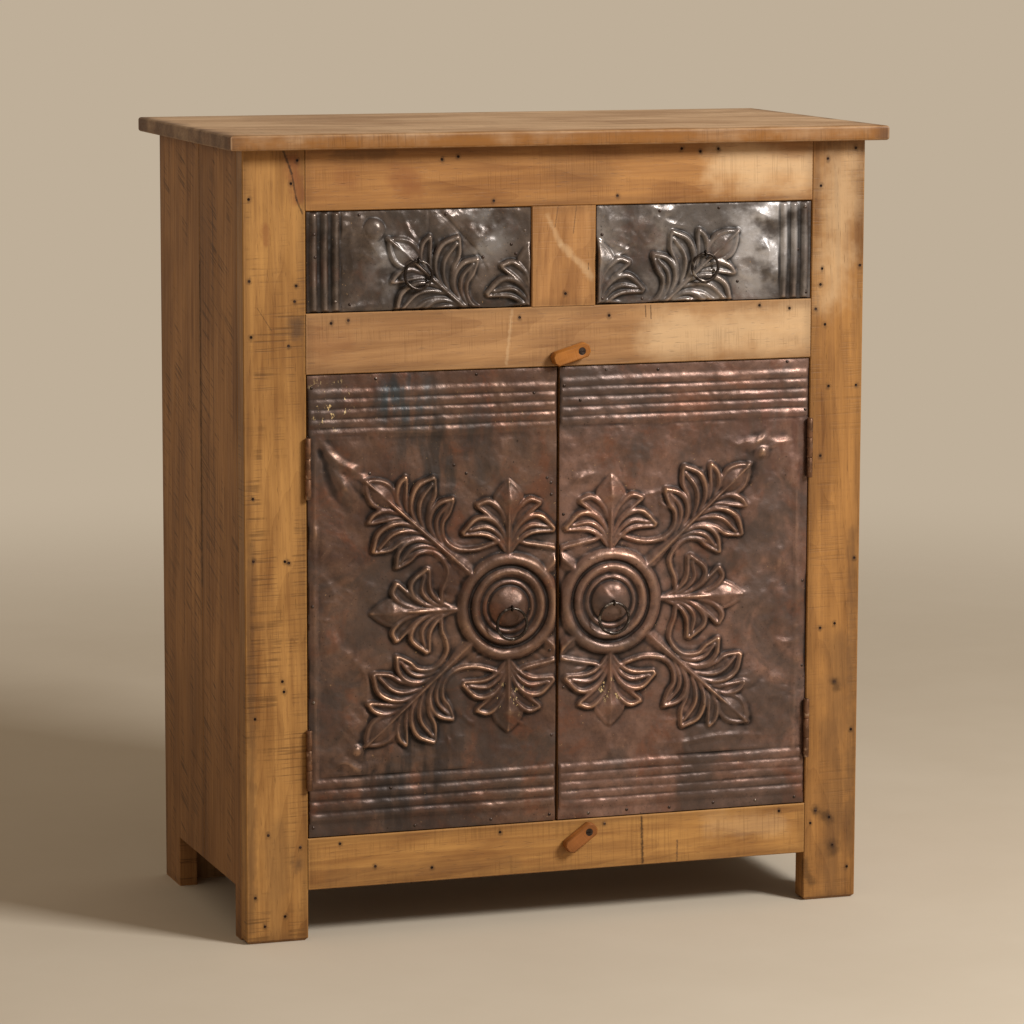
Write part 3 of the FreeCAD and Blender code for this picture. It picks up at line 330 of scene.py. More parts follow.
# the broad pale marks on the right stile's top and on the rails' right parts are painted sheen
FRAME_BOARDS = {
    "front_left_stile": dict(
        grain=ALONG_Z, light=paint(188, 137, 75), dark=paint(125, 81, 36), saw=0.5,
        pith=(0, 0.16, 0.03), marks=(
            (-344, 966, -334, 925, 15, RED_PATCH, 0.75), (-356, 979, -346, 953, 2.2, SOOT, 0.8),
            (-346, 953, -340, 920, 1.8, SOOT, 0.75), (-340, 920, -333, 904, 1.8, SOOT, 0.7),
            (-379, 888, -379, 868, 7, RED_PATCH, 0.5), (-340, 769, -341, 760, 15, SMOKE, 0.75),
            (-341, 100, -341, 96, 12, SMOKE, 0.7), (-365, 150, -372, 10, 26, SMOKE, 0.30),
            (-400, 500, -402, 20, 9, SMOKE, 0.35), (-390, 790, -372, 762, 0.8, SOOT, 0.5))),
    "front_right_stile": dict(
        grain=ALONG_Z, light=paint(176, 124, 66), dark=paint(112, 71, 31), saw=0.2,
        pith=(0.3, 0.12, -0.04), marks=(
            (380, 960, 368, 790, 36, PALE_SHEEN_AND_STREAK, 0.42), (382, 330, 378, 10, 30, SMOKE, 0.42),
            (352, 118, 374, 106, 10, SOOT, 0.6), (376, 71, 378, 64, 12, SOOT, 0.5),
            (336, 52, 346, 22, 9, SOOT, 0.5), (398, 480, 400, 60, 9, SMOKE, 0.35),
            (376, 286, 379, 280, 9, SOOT, 0.5))),
    "top_rail": dict(
        grain=ALONG_X, light=paint(183, 130, 73), dark=paint(128, 81, 38), saw=0.12,
        pith=(0.4, 0.20, 0.02), marks=(
            (215, 955, 330, 950, 44, PALE_SHEEN_AND_STREAK, 0.6), (-210, 942, -196, 936, 22, RED_PATCH, 0.55),
            (-280, 944, -272, 940, 16, RED_PATCH, 0.35), (-290, 974, -220, 974, 10, SMOKE, 0.4),
            (-10, 950, 60, 944, 26, SMOKE, 0.20))),
    "middle_rail": dict(
        grain=ALONG_X, light=paint(184, 138, 90), dark=paint(136, 94, 56), saw=0.16,
        pith=(0.9, 0.17, -0.03), marks=(
            (130, 745, 330, 750, 44, PALE_SHEEN_AND_STREAK, 0.5), (-64, 778, -71, 712, 3.0, PALE_SHEEN_AND_STREAK, 0.26),
            (112, 779, 113, 765, 1.0, SOOT, 0.8), (119, 779, 120, 762, 1.0, SOOT, 0.8),
            (-318, 745, -280, 742, 22, RED_PATCH, 0.25))),
    "bottom_rail": dict(
        grain=ALONG_X, light=paint(189, 138, 75), dark=paint(130, 85, 42), saw=0.2,
        pith=(1.4, 0.07, 0.01), marks=(
            (112, 126, 114, 66, 2.4, SOOT, 0.8), (161, 92, 161, 66, 1.6, SMOKE, 0.8),
            (-300, 80, -60, 78, 16, SMOKE, 0.22), (210, 110, 300, 100, 24, PALE_SHEEN_AND_STREAK, 0.2))),
    "drawer_mullion": dict(
        grain=ALONG_Z, light=paint(186, 134, 80), dark=paint(130, 84, 42), saw=0.05,
        pith=(1.9, 0.18, 0.05), marks=(
            (-18, 893, 0, 858, 5.0, BLEACHED, 0.28), (0, 858, 41, 818, 7.0, BLEACHED, 0.36),
            (20, 905, 16, 872, 1.2, SMOKE, 0.6), (-4, 906, -8, 880, 1.2, SMOKE, 0.6),
            (36, 834, 36, 826, 1.0, SOOT, 0.7))),
}
SPOT_WIDTH, JOINT_WIDTH = 4.6, 1.2


def finish_board(node, *looks, **more):
    """Gives a CAD board its own wood."""
    finish_node(node, wood(f"{node}_wood", node, *looks, **more))


for node, board in FRAME_BOARDS.items():
    low, high = (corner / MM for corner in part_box(node))
    if node == "drawer_mullion":
        joints = [(low.x, z, high.x, z) for z in (low.z, high.z)]
    else:
        ends = (low.x, high.x) if "rail" in node else (min(low.x, high.x, key=abs),)
        joints = [(x, low.z, x, high.z) for x in ends]
    rust_spots = [(x, z + 1, x, z - 1.5, SPOT_WIDTH, SOOT, 0.5) for x, z in NAILS[node]]
    dark_lines = [(*line, JOINT_WIDTH, SOOT, 0.8) for line in joints]
    board["marks"] = on_front(*board["marks"], *rust_spots, *dark_lines)
    finish_board(node, **board)

# ================================================================ top
# One wide plank with a rounded edge: its top painted a greyish tan that stands in for the sheen it
# catches from above, golden along the front, with dark end grain at its ends.  It is nailed down
# to the frame and the cleats.
finish_node("top_board", wood(
    "top_wood", "top_board", ALONG_X, paint(214, 178, 138), paint(146, 106, 70),
    pith=(2.3, 0.05, 0.14), saw=0.25, polish=0.5, marks=(
        # the golden band along the front edge: the plank's colour where the painted sheen of the
        # top stops
        ((-430, -238, 983), (430, -238, 983), 46, paint(146, 92, 30), 1.0),
        ((-440, -229, 988), (-440, 229, 988), 34, paint(96, 64, 40), 0.9),
        ((440, -229, 988), (440, 229, 988), 34, paint(96, 64, 40), 0.9))))

# ================================================================ sides
# Rough planks, two to a side, gone dark brown with age; the joint between them is black, and
# the pit saw's slanting cuts show as blackish bands.
SIDE_CRACKS = {
    "front": ((-62, 900, 470, 1.2, 0.85), (-110, 560, 240, 1.0, 0.7), (-170, 720, 560, 0.9, 0.5)),
    "rear": ((92, 640, 330, 1.2, 0.8), (150, 880, 700, 0.9, 0.6), (40, 420, 180, 1.0, 0.6)),
}
SIDE_PITHS = {"front": (0.7, 0.1, 0.2), "rear": (2.2, 0.1, 0.2)}
JOINT_Y = 2
for side, face_x in (("left", -408), ("right", 408)):
    shaded = ((face_x, -190, 60), (face_x, 190, 60), 330, paint(88, 54, 24), 0.40)
    joint = ((face_x, JOINT_Y, 990), (face_x, JOINT_Y, 60), 2.5, SOOT, 0.7)
    opened = ((face_x, JOINT_Y, 830), (face_x, JOINT_Y, 420), 5.0, SOOT, 1.0)
    for part, cracks in SIDE_CRACKS.items():
        splits = [((face_x, y, top), (face_x, y + 3, bottom), width, SOOT, strength)
                  for y, top, bottom, width, strength in cracks]
        finish_board(f"{side}_side_{part}_board", ALONG_Z, paint(186, 134, 80),
                     paint(130, 88, 50), pith=SIDE_PITHS[part], saw=0.66, slant=(0, 0, 0.3),
                     rings=0.22, polish=0.55, marks=[shaded, *splits, joint, opened])

# ================================================================ door tins
# Sheet tin pressed in a die: ribs above and below, and a ringed medallion with palmettes
# and acanthus leaves about it.  It is tacked over the door's planks; years of hands have
# dented it, and rubbed the dark bronze varnish off its crests down to a coppery brown.  The
# crests' lighter colour also serves as a painted highlight, and the hollows are darkened with
# grime and painted shade.
def smooth_run(points, steps=8):
    """Points along a smooth curve through the given ones."""
    given = np.array(points, float)
    padded = np.vstack([2 * given[0] - given[1], given, 2 * given[-1] - given[-2]])
    t = np.linspace(0, 1, steps, endpoint=False)[:, None]
    spans = [0.5 * (2 * b + (c - a) * t + (2 * a - 5 * b + 4 * c - d) * t ** 2
                    + (3 * b - a - 3 * c + d) * t ** 3)
             for a, b, c, d in zip(padded, padded[1:], padded[2:], padded[3:])]
    return np.vstack(spans + [given[-1:]])


def eased(share):
    """0 to 1 with a soft start and end."""
    share = np.clip(share, 0, 1)
    return share * share * (3 - 2 * share)


# how steeply a raised line falls to its sides, and how far a patch's edge takes to climb
SHARP_FALL, ROUND_FALL, EDGE_REACH = 1.15, 0.85, 1.2


class Pressing:
    """How far a sheet stands proud, in mm, over a grid of lines: out from one edge, and up."""

    def __init__(self, out_lines, up_lines):
        self.out, self.up = out_lines, up_lines
        self.rise = np.zeros((len(up_lines), len(out_lines)))

    def near(self, path, margin):
        """The part of the grid about a path: its rows and columns, and its coordinates."""
        low, high = path.min(0) - margin, path.max(0) + margin
        cols = slice(*np.searchsorted(self.out, (low[0], high[0])))
        rows = slice(*np.searchsorted(self.up, (low[1], high[1])))
        return (rows, cols), *np.meshgrid(self.out[cols], self.up[rows])

    def lifted(self, window, height):
        """Raises a part of the sheet to a height where it is lower."""
        self.rise[window] = np.maximum(self.rise[window], height)

    @staticmethod
    def away_from(path, out, up):
        """Each point's distance from a path, and how far along it the nearest place is."""
        away, share = np.full(out.shape, 1e9), np.zeros(out.shape)
        for index, (start, end) in enumerate(zip(path, path[1:])):
            run = end - start
            t = ((out - start[0]) * run[0] + (up - start[1]) * run[1]) / max(run @ run, 1e-9)
            t = np.clip(t, 0, 1)
            here = np.hypot(out - start[0] - t * run[0], up - start[1] - t * run[1])
            closer = here < away
            away[closer] = here[closer]
            share[closer] = ((index + t) / (len(path) - 1))[closer]
        return away, share

    def bar(self, points, heights, widths, sharp=False, added=False):
        """A raised line; heights and half widths are given at its start, middle and end."""
        path = smooth_run(points) if len(points) > 2 else np.array(points, float)
        window, out, up = self.near(path, max(widths))
        away, share = self.away_from(path, out, up)
        across = np.clip(away / np.interp(share, (0, 0.5, 1), widths), 0, 1)
        form = (1 - across) ** SHARP_FALL if sharp else (1 - across ** 2) ** ROUND_FALL
        height = np.interp(share, (0, 0.5, 1), heights) * form
        if added:
            self.rise[window] += height
        else:
            self.lifted(window, height)

    def crease(self, points, height, width, at_ends):
        """A sharp line, up or down, added to what is there; its ends keep a share of its height."""
        self.bar(points, (at_ends * height, height, at_ends * height), (width,) * 3,
                 sharp=True, added=True)

    def blade(self, outline, edge, slope, height):
        """A raised patch: a steep edge, then a gentler climb towards its middle."""
        path = smooth_run(list(outline) + [outline[0]])
        window, out, up = self.near(path, 1.5)
        away, _ = self.away_from(path, out, up)
        inside = np.zeros(out.shape, bool)
        for (x1, y1), (x2, y2) in zip(path, path[1:]):
            if abs(y2 - y1) > 1e-9:
                inside ^= ((y1 > up) != (y2 > up)) & (out < (x2 - x1) * (up - y1) / (y2 - y1) + x1)
        climb = np.where(inside, away, -away)
        wall = edge * eased((climb + EDGE_REACH) / (2 * EDGE_REACH))
        self.lifted(window, wall + np.clip(slope * climb, 0, height - edge))

    def turned(self, middle, profile):
        """A round form: its profile gives the height at each radius."""
        radii, heights = smooth_run(profile).T
        window, out, up = self.near(np.array([middle], float), radii[-1])
        radius = np.hypot(out - middle[0], up - middle[1])
        self.lifted(window, np.where(radius < radii[-1], np.interp(radius, radii, heights), 0))


def hammered(pressing, size, seed):
    """Soft uneven swells about as wide as size, between -1 and 1."""
    lattice = np.random.default_rng(seed).uniform(-1, 1, (128, 128))
    u = (pressing.out - pressing.out[0]) / size + 1
    v = (pressing.up - pressing.up[0]) / size + 1
    i, j = u.astype(int), v.astype(int)
    s, t = eased(u - i)[None, :], eased(v - j)[:, None]
    low = lattice[np.ix_(j, i)] * (1 - s) + lattice[np.ix_(j, i + 1)] * s
    high = lattice[np.ix_(j + 1, i)] * (1 - s) + lattice[np.ix_(j + 1, i + 1)] * s
    return low * (1 - t) + high * t


def softened(field, passes):
    """A field smoothed over its neighbours."""
    for _ in range(passes):
        for axis in (0, 1):
            here = np.arange(field.shape[axis])
            before, after = (np.take(field, here + step, axis, mode="clip") for step in (-1, 1))
            field = 0.25 * before + 0.5 * field + 0.25 * after
    return field


# Half of an acanthus leaf, along its rib from the medallion's middle and across it: its
# pointed end, and its lobes, each a few flutes from the outermost to the innermost with
# their height and half width.
ACANTHUS_END = ((197, 0), (200, 6), (208, 12), (217, 15.5), (228, 15), (239, 9), (249, 0))
ACANTHUS_LOBES = (
    ((((184, 2), (201, 8), (210, 18), (213, 27), (212, 36)), 5.6, 3.4),
     (((176, 2), (189, 11), (200, 24), (210, 36)), 4.8, 2.9)),
    ((((156, 1), (176, 8), (189, 22), (193, 40), (184, 59)), 6.4, 3.9),
     (((146, 1), (166, 12), (178, 28), (180, 52)), 5.6, 3.1),
     (((136, 2), (152, 12), (163, 28), (168, 44), (181, 59)), 5.4, 3.1)),
    ((((126, 2), (146, 10), (157, 24), (157, 40), (147, 55)), 6.0, 3.8),
     (((116, 3), (136, 12), (147, 26), (147, 47)), 5.2, 3.0),
     (((104, 7), (124, 12), (137, 24), (139, 38), (145, 54)), 5.2, 3.0)),
)
ACANTHUS_RIM = ((201, 6), (209, 12), (218, 15), (228, 14.5), (239, 9), (249, 0))
# the ribs that the acanthus leaves lie along: how far out each point is, the heights and the
# half widths
SLANT = radians(41.6)
SLANTING_RIB = ((62, 130, 250), (5.4, 6.4, 7.8), (11, 6.0, 4.0))
# half of a palmette, in the same way, and the rib up its middle
PALMETTE_ROOT = 62
PALMETTE_END = ((104, 0), (108, 6), (118, 10), (128, 17), (137, 18), (148, 11), (158, 0))
PALMETTE_LOBES = (
    ((((98, 2), (117, 8), (129, 18), (134, 29), (130, 41)), 5.6, 3.6),
     (((88, 2), (104, 13), (116, 26), (128, 41)), 5.0, 3.1)),
    ((((80, 2), (100, 11), (112, 26), (112, 43), (96, 60)), 5.8, 3.8),
     (((74, 2), (91, 13), (101, 29), (98, 52)), 5.0, 2.9),
     (((66, 2), (82, 13), (92, 31), (93, 59)), 5.0, 3.0)),
)
PALMETTE_RIM = ((105, 7), (117, 10), (128, 16.5), (137, 17), (148, 10), (158, 0))
PALMETTE_RIB = (((60, 0), (110, 0), (158, 0)), (4.2, 7.0, 5.0), (6.0, 8.0, 2.4))
# the side palmette is longer and narrower, and starts further out
SIDE_ROOT, SIDE_LENGTH, SIDE_BREADTH = 68, 1.16, 0.87
# stems from the leaves' roots to the palmettes, about the medallion
STEMS = (
    ((79, 131), (86, 112), (87, 98), (81, 85), (70, 77), (57, 74), (44, 74), (30, 77), (10, 84)),
    ((140, 65), (123, 73), (109, 76), (96, 72), (86, 63), (80, 51), (82, 38), (87, 25), (88, 6)),
    ((-10, 84), (-22, 79), (-38, 76), (-58, 72), (-76, 66)),
)
STEM_HEIGHTS, STEM_WIDTHS = (3.4, 4.2, 3.6), (3.0, 4.0, 3.4)
# the height at each radius
MEDALLION = ((0, 12.0), (8, 11.5), (16, 9.7), (22, 6.8), (26, 3.2), (28, 2.0), (31, 4.8),
             (34, 2.2), (37, 2.4), (41, 5.5), (44.5, 6.3), (48, 4.2), (51, 0.6), (54, 4.2),
             (57.5, 6.4), (61.5, 6.6), (65.5, 4.4), (69.5, 0))
LOBE_PATCH, LEAF_EDGE, LEAF_CREST = 1.9, 1.8, 8.4
# shares of a flute's or a rim's height and half width at its start, middle and end, and of
# the outermost flute's height over the radii of the bead at its tip
FLUTE_HEIGHTS, FLUTE_WIDTHS = (0.5, 1, 0.95), (0.7, 1.25, 1)
TIP_BEAD = ((0, 0.9), (2.2, 0.7), (4.0, 0))
RIM_HEIGHTS, RIM_WIDTHS = (0.7, 1, 1), (3.6, 4.2, 3.0)
ACANTHUS_SLOPE, ACANTHUS_RIM_RISE = 0.28, 4.4
PALMETTE_SLOPE, PALMETTE_RIM_RISE = 0.42, 3.0


def press_lobe(pressing, flutes, lay):
    """A lobe: a raised patch between its outermost and innermost flutes, and all its flutes."""
    outer, inner = flutes[0][0], flutes[-1][0]
    pressing.blade(lay(list(outer) + list(inner)[-2::-1]), LOBE_PATCH, 0.0, LOBE_PATCH)
    for points, height, width in flutes:
        pressing.bar(lay(points), [share * height for share in FLUTE_HEIGHTS],
                     [share * width for share in FLUTE_WIDTHS])
    pressing.turned(*lay([outer[-1]]), [(radius, share * flutes[0][1])
                                        for radius, share in TIP_BEAD])


def press_leaf(pressing, lay, end, rim, lobes, slope, rim_rise):
    """A whole leaf: its roofed end with raised rims, and its lobes, on both sides of the rib."""
    pressing.blade(lay(list(end) + [(a, -b) for a, b in end[-2:0:-1]]), LEAF_EDGE, slope,
                   LEAF_CREST)
    for hand in (1, -1):
        def turned_over(points):
            return lay([(a, hand * b) for a, b in points])
        pressing.bar(turned_over(rim), [share * rim_rise for share in RIM_HEIGHTS], RIM_WIDTHS)
        for flutes in lobes:
            press_lobe(pressing, flutes, turned_over)


def press_palmette(pressing, lay):
    """A palmette and its rib."""
    press_leaf(pressing, lay, PALMETTE_END, PALMETTE_RIM, PALMETTE_LOBES, PALMETTE_SLOPE,
               PALMETTE_RIM_RISE)
    points, heights, widths = PALMETTE_RIB
    pressing.bar(lay(points), heights, widths, sharp=True)


def press_die(pressing):
    """All that the die presses about one medallion, out being away from the meeting edge."""
    reaches, heights, widths = SLANTING_RIB
    for up in (1, -1):
        for out in (1, -1):
            pressing.bar([(out * reach * cos(SLANT), up * reach * sin(SLANT))
                          for reach in reaches], heights, widths, sharp=True)

        def along_acanthus(points):
            return [(a * cos(SLANT) - b * sin(SLANT), up * (a * sin(SLANT) + b * cos(SLANT)))
                    for a, b in points]
        press_leaf(pressing, along_acanthus, ACANTHUS_END, ACANTHUS_RIM, ACANTHUS_LOBES,
                   ACANTHUS_SLOPE, ACANTHUS_RIM_RISE)
        for stem in STEMS:
            pressing.bar([(u, up * w) for u, w in stem], STEM_HEIGHTS, STEM_WIDTHS)
        press_palmette(pressing, lambda points: [(b, up * a) for a, b in points])
    press_palmette(pressing, lambda points: [
        (SIDE_ROOT + (a - PALMETTE_ROOT) * SIDE_LENGTH, SIDE_BREADTH * b) for a, b in points])
    pressing.turned((0, 0), MEDALLION)


CREASE_HALF_LENGTH, CREASE_BEND = (8, 34), 0.25
CREASE_HEIGHT, CREASE_WIDTH = (0.5, 1.7), (3.5, 9)
CREASE_ENDS, FOLD_ENDS = 0.1, 0.3


def crumple(pressing, count, seed):
    """Short creases this way and that, some up and some down."""
    chance = np.random.default_rng(seed)
    low = np.array([pressing.out[0], pressing.up[0]])
    span = np.array([pressing.out[-1], pressing.up[-1]]) - low
    for _ in range(count):
        middle = low + chance.uniform(0.03, 0.97, 2) * span
        turn, reach = chance.uniform(0, pi), chance.uniform(*CREASE_HALF_LENGTH)
        run = reach * np.array([cos(turn), sin(turn)])
        bend = chance.uniform(-CREASE_BEND, CREASE_BEND) * np.array([-run[1], run[0]])
        height = chance.choice((-1, 1)) * chance.uniform(*CREASE_HEIGHT)
        width = chance.uniform(*CREASE_WIDTH)
        pressing.crease([middle - run, middle + bend, middle + run], height, width, CREASE_ENDS)


RIBBED_SHARE, RIM_DIP, DEEPEST = 0.22, 0.3, 0.35
# the planks behind stop a dent softly at its lowest
DENT_FLOOR, FLOOR_SHARPNESS, DENT_LOWEST = 0.5, 1.6, 0.4
# over how far from the sheet's rim the dents, the pressing and the dip come and go; proud
# forms are stiffer, and keep a part of the dents only
DENT_FADE, DENT_START, PRESSING_FADE, DIP_FADE = 11, 2, 3, 2.5
STIFFENED_SHARE, STIFF_RISE = 0.6, 3
RELIEF_PASSES = (6, 34)


def dented(pressing, swells, folds, creases, seed, stiff):
    """Adds dents, given as size and depth, then folds and creases, and dips the sheet's rim.

    Where the sheet is ribbed it is stiff, and dents little.
    """
    dents = Pressing(pressing.out, pressing.up)
    for number, (size, depth) in enumerate(swells):
        dents.rise += depth * hammered(dents, size, seed + number)
    for points, height, width in folds:
        dents.crease(points, height, width, FOLD_ENDS)
    crumple(dents, creases, seed + 9)
    dents.rise = (np.logaddexp(0, FLOOR_SHARPNESS * (dents.rise + DENT_FLOOR)) / FLOOR_SHARPNESS
                  - DENT_LOWEST)
    dents.rise[stiff] *= RIBBED_SHARE
    from_sides, from_ends = (np.minimum(line - line[0], line[-1] - line)
                             for line in (pressing.out, pressing.up))
    to_rim = np.minimum(from_sides[None, :], from_ends[:, None])
    dents.rise *= eased((to_rim + DENT_START) / DENT_FADE)
    pressing.rise += (1 - STIFFENED_SHARE * eased(pressing.rise / STIFF_RISE)) * dents.rise
    pressing.rise = (np.maximum(pressing.rise, -DEEPEST) * eased(to_rim / PRESSING_FADE)
                     - RIM_DIP * (1 - eased(to_rim / DIP_FADE)))


def grid_lines(*stretches):
    """Grid lines over stretches of a sheet, each a start, an end and a spacing."""
    lines = [np.linspace(start, end, max(1, round((end - start) / pitch)), endpoint=False)
             for start, end, pitch in stretches]
    return np.concatenate(lines + [[stretches[-1][1]]])


FACE_Y, BOARD_Y = -201.1, -200.3


def vertex_places(piece):
    """Where a mesh's vertices are, one to a row."""
    places = np.empty(len(piece.data.vertices) * 3)
    piece.data.vertices.foreach_get("co", places)
    return places.reshape(-1, 3)


def tin_piece(name, pressing, low, high, mirror):
    """The sheet as a closed mesh: its pressed face, a rim down to its board and a flat back."""
    rows, cols = pressing.rise.shape
    bpy.ops.object.select_all(action="DESELECT")
    bpy.ops.mesh.primitive_grid_add(x_subdivisions=cols - 1, y_subdivisions=rows - 1, size=2)
    piece = bpy.context.object
    piece.name = piece.data.name = name
    places = vertex_places(piece)
    col = np.rint((places[:, 0] + 1) / 2 * (cols - 1)).astype(int)
    row = np.rint((places[:, 1] + 1) / 2 * (rows - 1)).astype(int)
    meeting_edge = high.x if mirror < 0 else low.x
    pressed = np.column_stack([meeting_edge + mirror * (pressing.out[col] - pressing.out[0]),
                               FACE_Y - pressing.rise[row, col],
                               low.z + pressing.up[row] - pressing.up[0]]) * MM
    piece.data.vertices.foreach_set("co", pressed.ravel())
    bpy.ops.object.mode_set(mode="EDIT")
    bpy.ops.mesh.select_mode(type="EDGE")
    bpy.ops.mesh.select_all(action="DESELECT")
    bpy.ops.mesh.select_non_manifold()
    bpy.ops.mesh.extrude_edges_move()
    bpy.ops.object.mode_set(mode="OBJECT")
    on_rim = np.array([vertex.select for vertex in piece.data.vertices])
    places = vertex_places(piece)
    places[on_rim, 1] = BOARD_Y * MM
    piece.data.vertices.foreach_set("co", places.ravel())
    bpy.ops.object.mode_set(mode="EDIT")
    bpy.ops.mesh.edge_face_add()
    bpy.ops.mesh.select_all(action="SELECT")
    bpy.ops.mesh.normals_make_consistent(inside=False)
    bpy.ops.object.mode_set(mode="OBJECT")
    bpy.ops.object.shade_smooth_by_angle(angle=radians(75))
    proud = np.full(len(on_rim), -RIM_DIP)
    # the relief: how far each point stands above its surroundings; the finish uses it to paint
    # grime and shade into the hollows, and wear and a highlight onto the crests
    around = sum(0.5 * softened(pressing.rise, passes) for passes in RELIEF_PASSES)
    proud[:rows * cols] = (pressing.rise - around)[row, col]
    relief = piece.data.attributes.new("relief", "FLOAT", "POINT")
    relief.data.foreach_set("value", proud.astype(np.float32))
    return piece


SHEET_Y = -0.2
GREY_TIN, HOLLOW_GRIME_AND_SHADE, PIT = paint(70, 64, 60), paint(20, 12, 8), paint(26, 17, 12)
CHIP, OLD_PAINT = paint(178, 142, 100), paint(216, 188, 138)
MOTTLE_SHARE, RUST_SHARE, GREY_SHARE = 0.45, 0.5, 0.5
STAIN_AND_SHEEN_SHARE, HOLLOW_GRIME_AND_SHADE_SHARE, PIT_SHARE = 0.75, 0.9, 0.8


def tin(name, varnish, rust_tint, worn, seed, gloss, wear_and_highlight=0.8, bare=0.6, stains_and_sheen=(),
        streaky=(60, 1, 14), flecks=()):
    """Varnished tin: cloudy dark bronze, rust and grey in patches; on its crests copper wear and a
    painted highlight, in its hollows grime and painted shade.

    Stains, among them patches of painted sheen, and flecks are given as x, z and how far they
    reach, in metres.
    """
    made, shader, place = new_material(name)
    sheet = place + (seed, 0, 0)
    relief = Field(add_node(made.node_tree, "Attribute", attribute_name="relief").outputs["Fac"])
    clouds = sheet.noise(9.0, 5.0, 0.62, 0.5).spread(0.36, 0.64)
    mottle = sheet.noise(62.0, 5.0, 0.7).spread(0.35, 0.65)
    rust = sheet.noise(15.0, 6.0, 0.72, 0.4).spread(0.50, 0.66)
    patches = sheet.noise(7.0, 4.0, 0.65, 0.8).spread(0.49, 0.60)
    pits = sheet.noise(330.0, 3.0, 0.62)
    colour = clouds.blend(varnish[0], varnish[1])
    colour = (mottle * MOTTLE_SHARE).blend(colour, varnish[2])
    colour = (rust * RUST_SHARE).blend(colour, rust_tint)
    colour = (patches * GREY_SHARE).blend(colour, GREY_TIN)
    # stains; on the drawers they are pale patches of painted sheen
    for x, z, reach, tint in stains_and_sheen:
        near = place.math("DISTANCE", (x, SHEET_Y, z)).spread(0.3 * reach, reach, 1.0, 0.0)
        streaks = (sheet * streaky).noise(1.0, 4.0).spread(0.38, 0.60)
        colour = (near * streaks * STAIN_AND_SHEEN_SHARE).blend(colour, tint)
    # the hollows darkened: real grime, and painted shade where the relief's shadows fall about its
    # foot
    hollow = relief.spread(0.0, -1.1)
    colour = (hollow * HOLLOW_GRIME_AND_SHADE_SHARE).blend(colour, HOLLOW_GRIME_AND_SHADE)
    # the crests lightened towards the worn colour: copper wear, and a painted highlight
    handled = sheet.noise(21.0, 4.0, 0.6).spread(0.44, 0.60, 0.25, 1.0)
    rubbed = relief.spread(0.3, 2.4) * handled
    colour = (rubbed * wear_and_highlight).blend(colour, worn)
    specks = pits.spread(0.66, 0.70) * clouds.spread(0.0, 0.9, 1.0, 0.3)
    colour = (specks * PIT_SHARE).blend(colour, PIT)
    chips = pits.spread(0.300, 0.275) * patches.spread(0.0, 1.0, 0.8, 0.2)
    colour = chips.blend(colour, CHIP)
    for x, z, reach in flecks:
        near = place.math("DISTANCE", (x, SHEET_Y, z)).spread(0.4 * reach, reach, 1.0, 0.0)
        flakes = (sheet * (160, 46, 95)).noise(1.0, 4.0, 0.66).spread(0.61, 0.64)
        colour = (near * flakes).blend(colour, OLD_PAINT)
    height = pits * 0.07 + sheet.noise(40.0) * 0.7 + sheet.noise(19.0, 2.0, 0.5, 0.6) * 1.6
    set_inputs(shader, {
        "Base Color": colour, "Metallic": rubbed.spread(0.0, 1.0, bare, 0.85),
        "Roughness": mottle * 0.15 + hollow * 0.2 + gloss, "Specular IOR Level": 0.5,
        "Normal": height.bumped(0.85, 3.6)})
    return made


VARNISH = {
    "left": (paint(120, 91, 75), paint(90, 65, 54), paint(54, 39, 31)),
    "right": (paint(146, 112, 97), paint(109, 82, 70), paint(62, 46, 38)),
}
# the crest colour: copper wear, and a painted highlight as well
RUST, COPPER_WEAR_AND_HIGHLIGHT = paint(124, 76, 53), paint(190, 148, 118)
MEDALLION_INSET = {"left": 63.6, "right": 68.0}
MEDALLION_RISE = 277.0
RIB_BAND = 76
UPPER_RIBS = {"left": [22.8 + 12.3 * n for n in range(5)],
              "right": [18.5 + 12.3 * n for n in range(5)]}
LOWER_RIBS = {"left": [23.5 + 14.2 * n for n in range(4)],
              "right": [19.4 + 11.7 * n for n in range(5)]}
DOOR_STUD = ((0, 5.6), (4, 4.9), (7, 3.0), (9.5, 0))
STUDS = {"left": (198, -171.5), "right": (204, 180.5)}
EDGE_FOLD = {"left": 9, "right": 15}
BUTTON_ROOM = 2.0
DOOR_SWELLS, DOOR_CREASES = ((66, 2.2), (27, 1.8), (12, 0.7), (6, 0.2)), 110
DOOR_SEEDS = {"left": (11, 1.6), "right": (29, 3.3)}
# the grid is fine over the leaves and the ribs, and coarse where the sheet is plain
LEAVES_OUT, LEAVES_LOW, LEAVES_HIGH, UPPER_BAND = 251, 84, 472, 500
LEAF_GRID, RIB_GRID, END_GRID, PLAIN_GRID = 1.25, 1.6, 2.4, 2.6
EDGE_FOLD_LOW, EDGE_FOLD_HIGH = -212, 215
RIB_HEIGHTS, RIB_WIDTHS = (1.7, 1.9, 1.8), (5.4, 5.8, 5.4)
RIB_SWING, SWING_RATE, SWING_STEP = 0.5, 0.03, 2.1
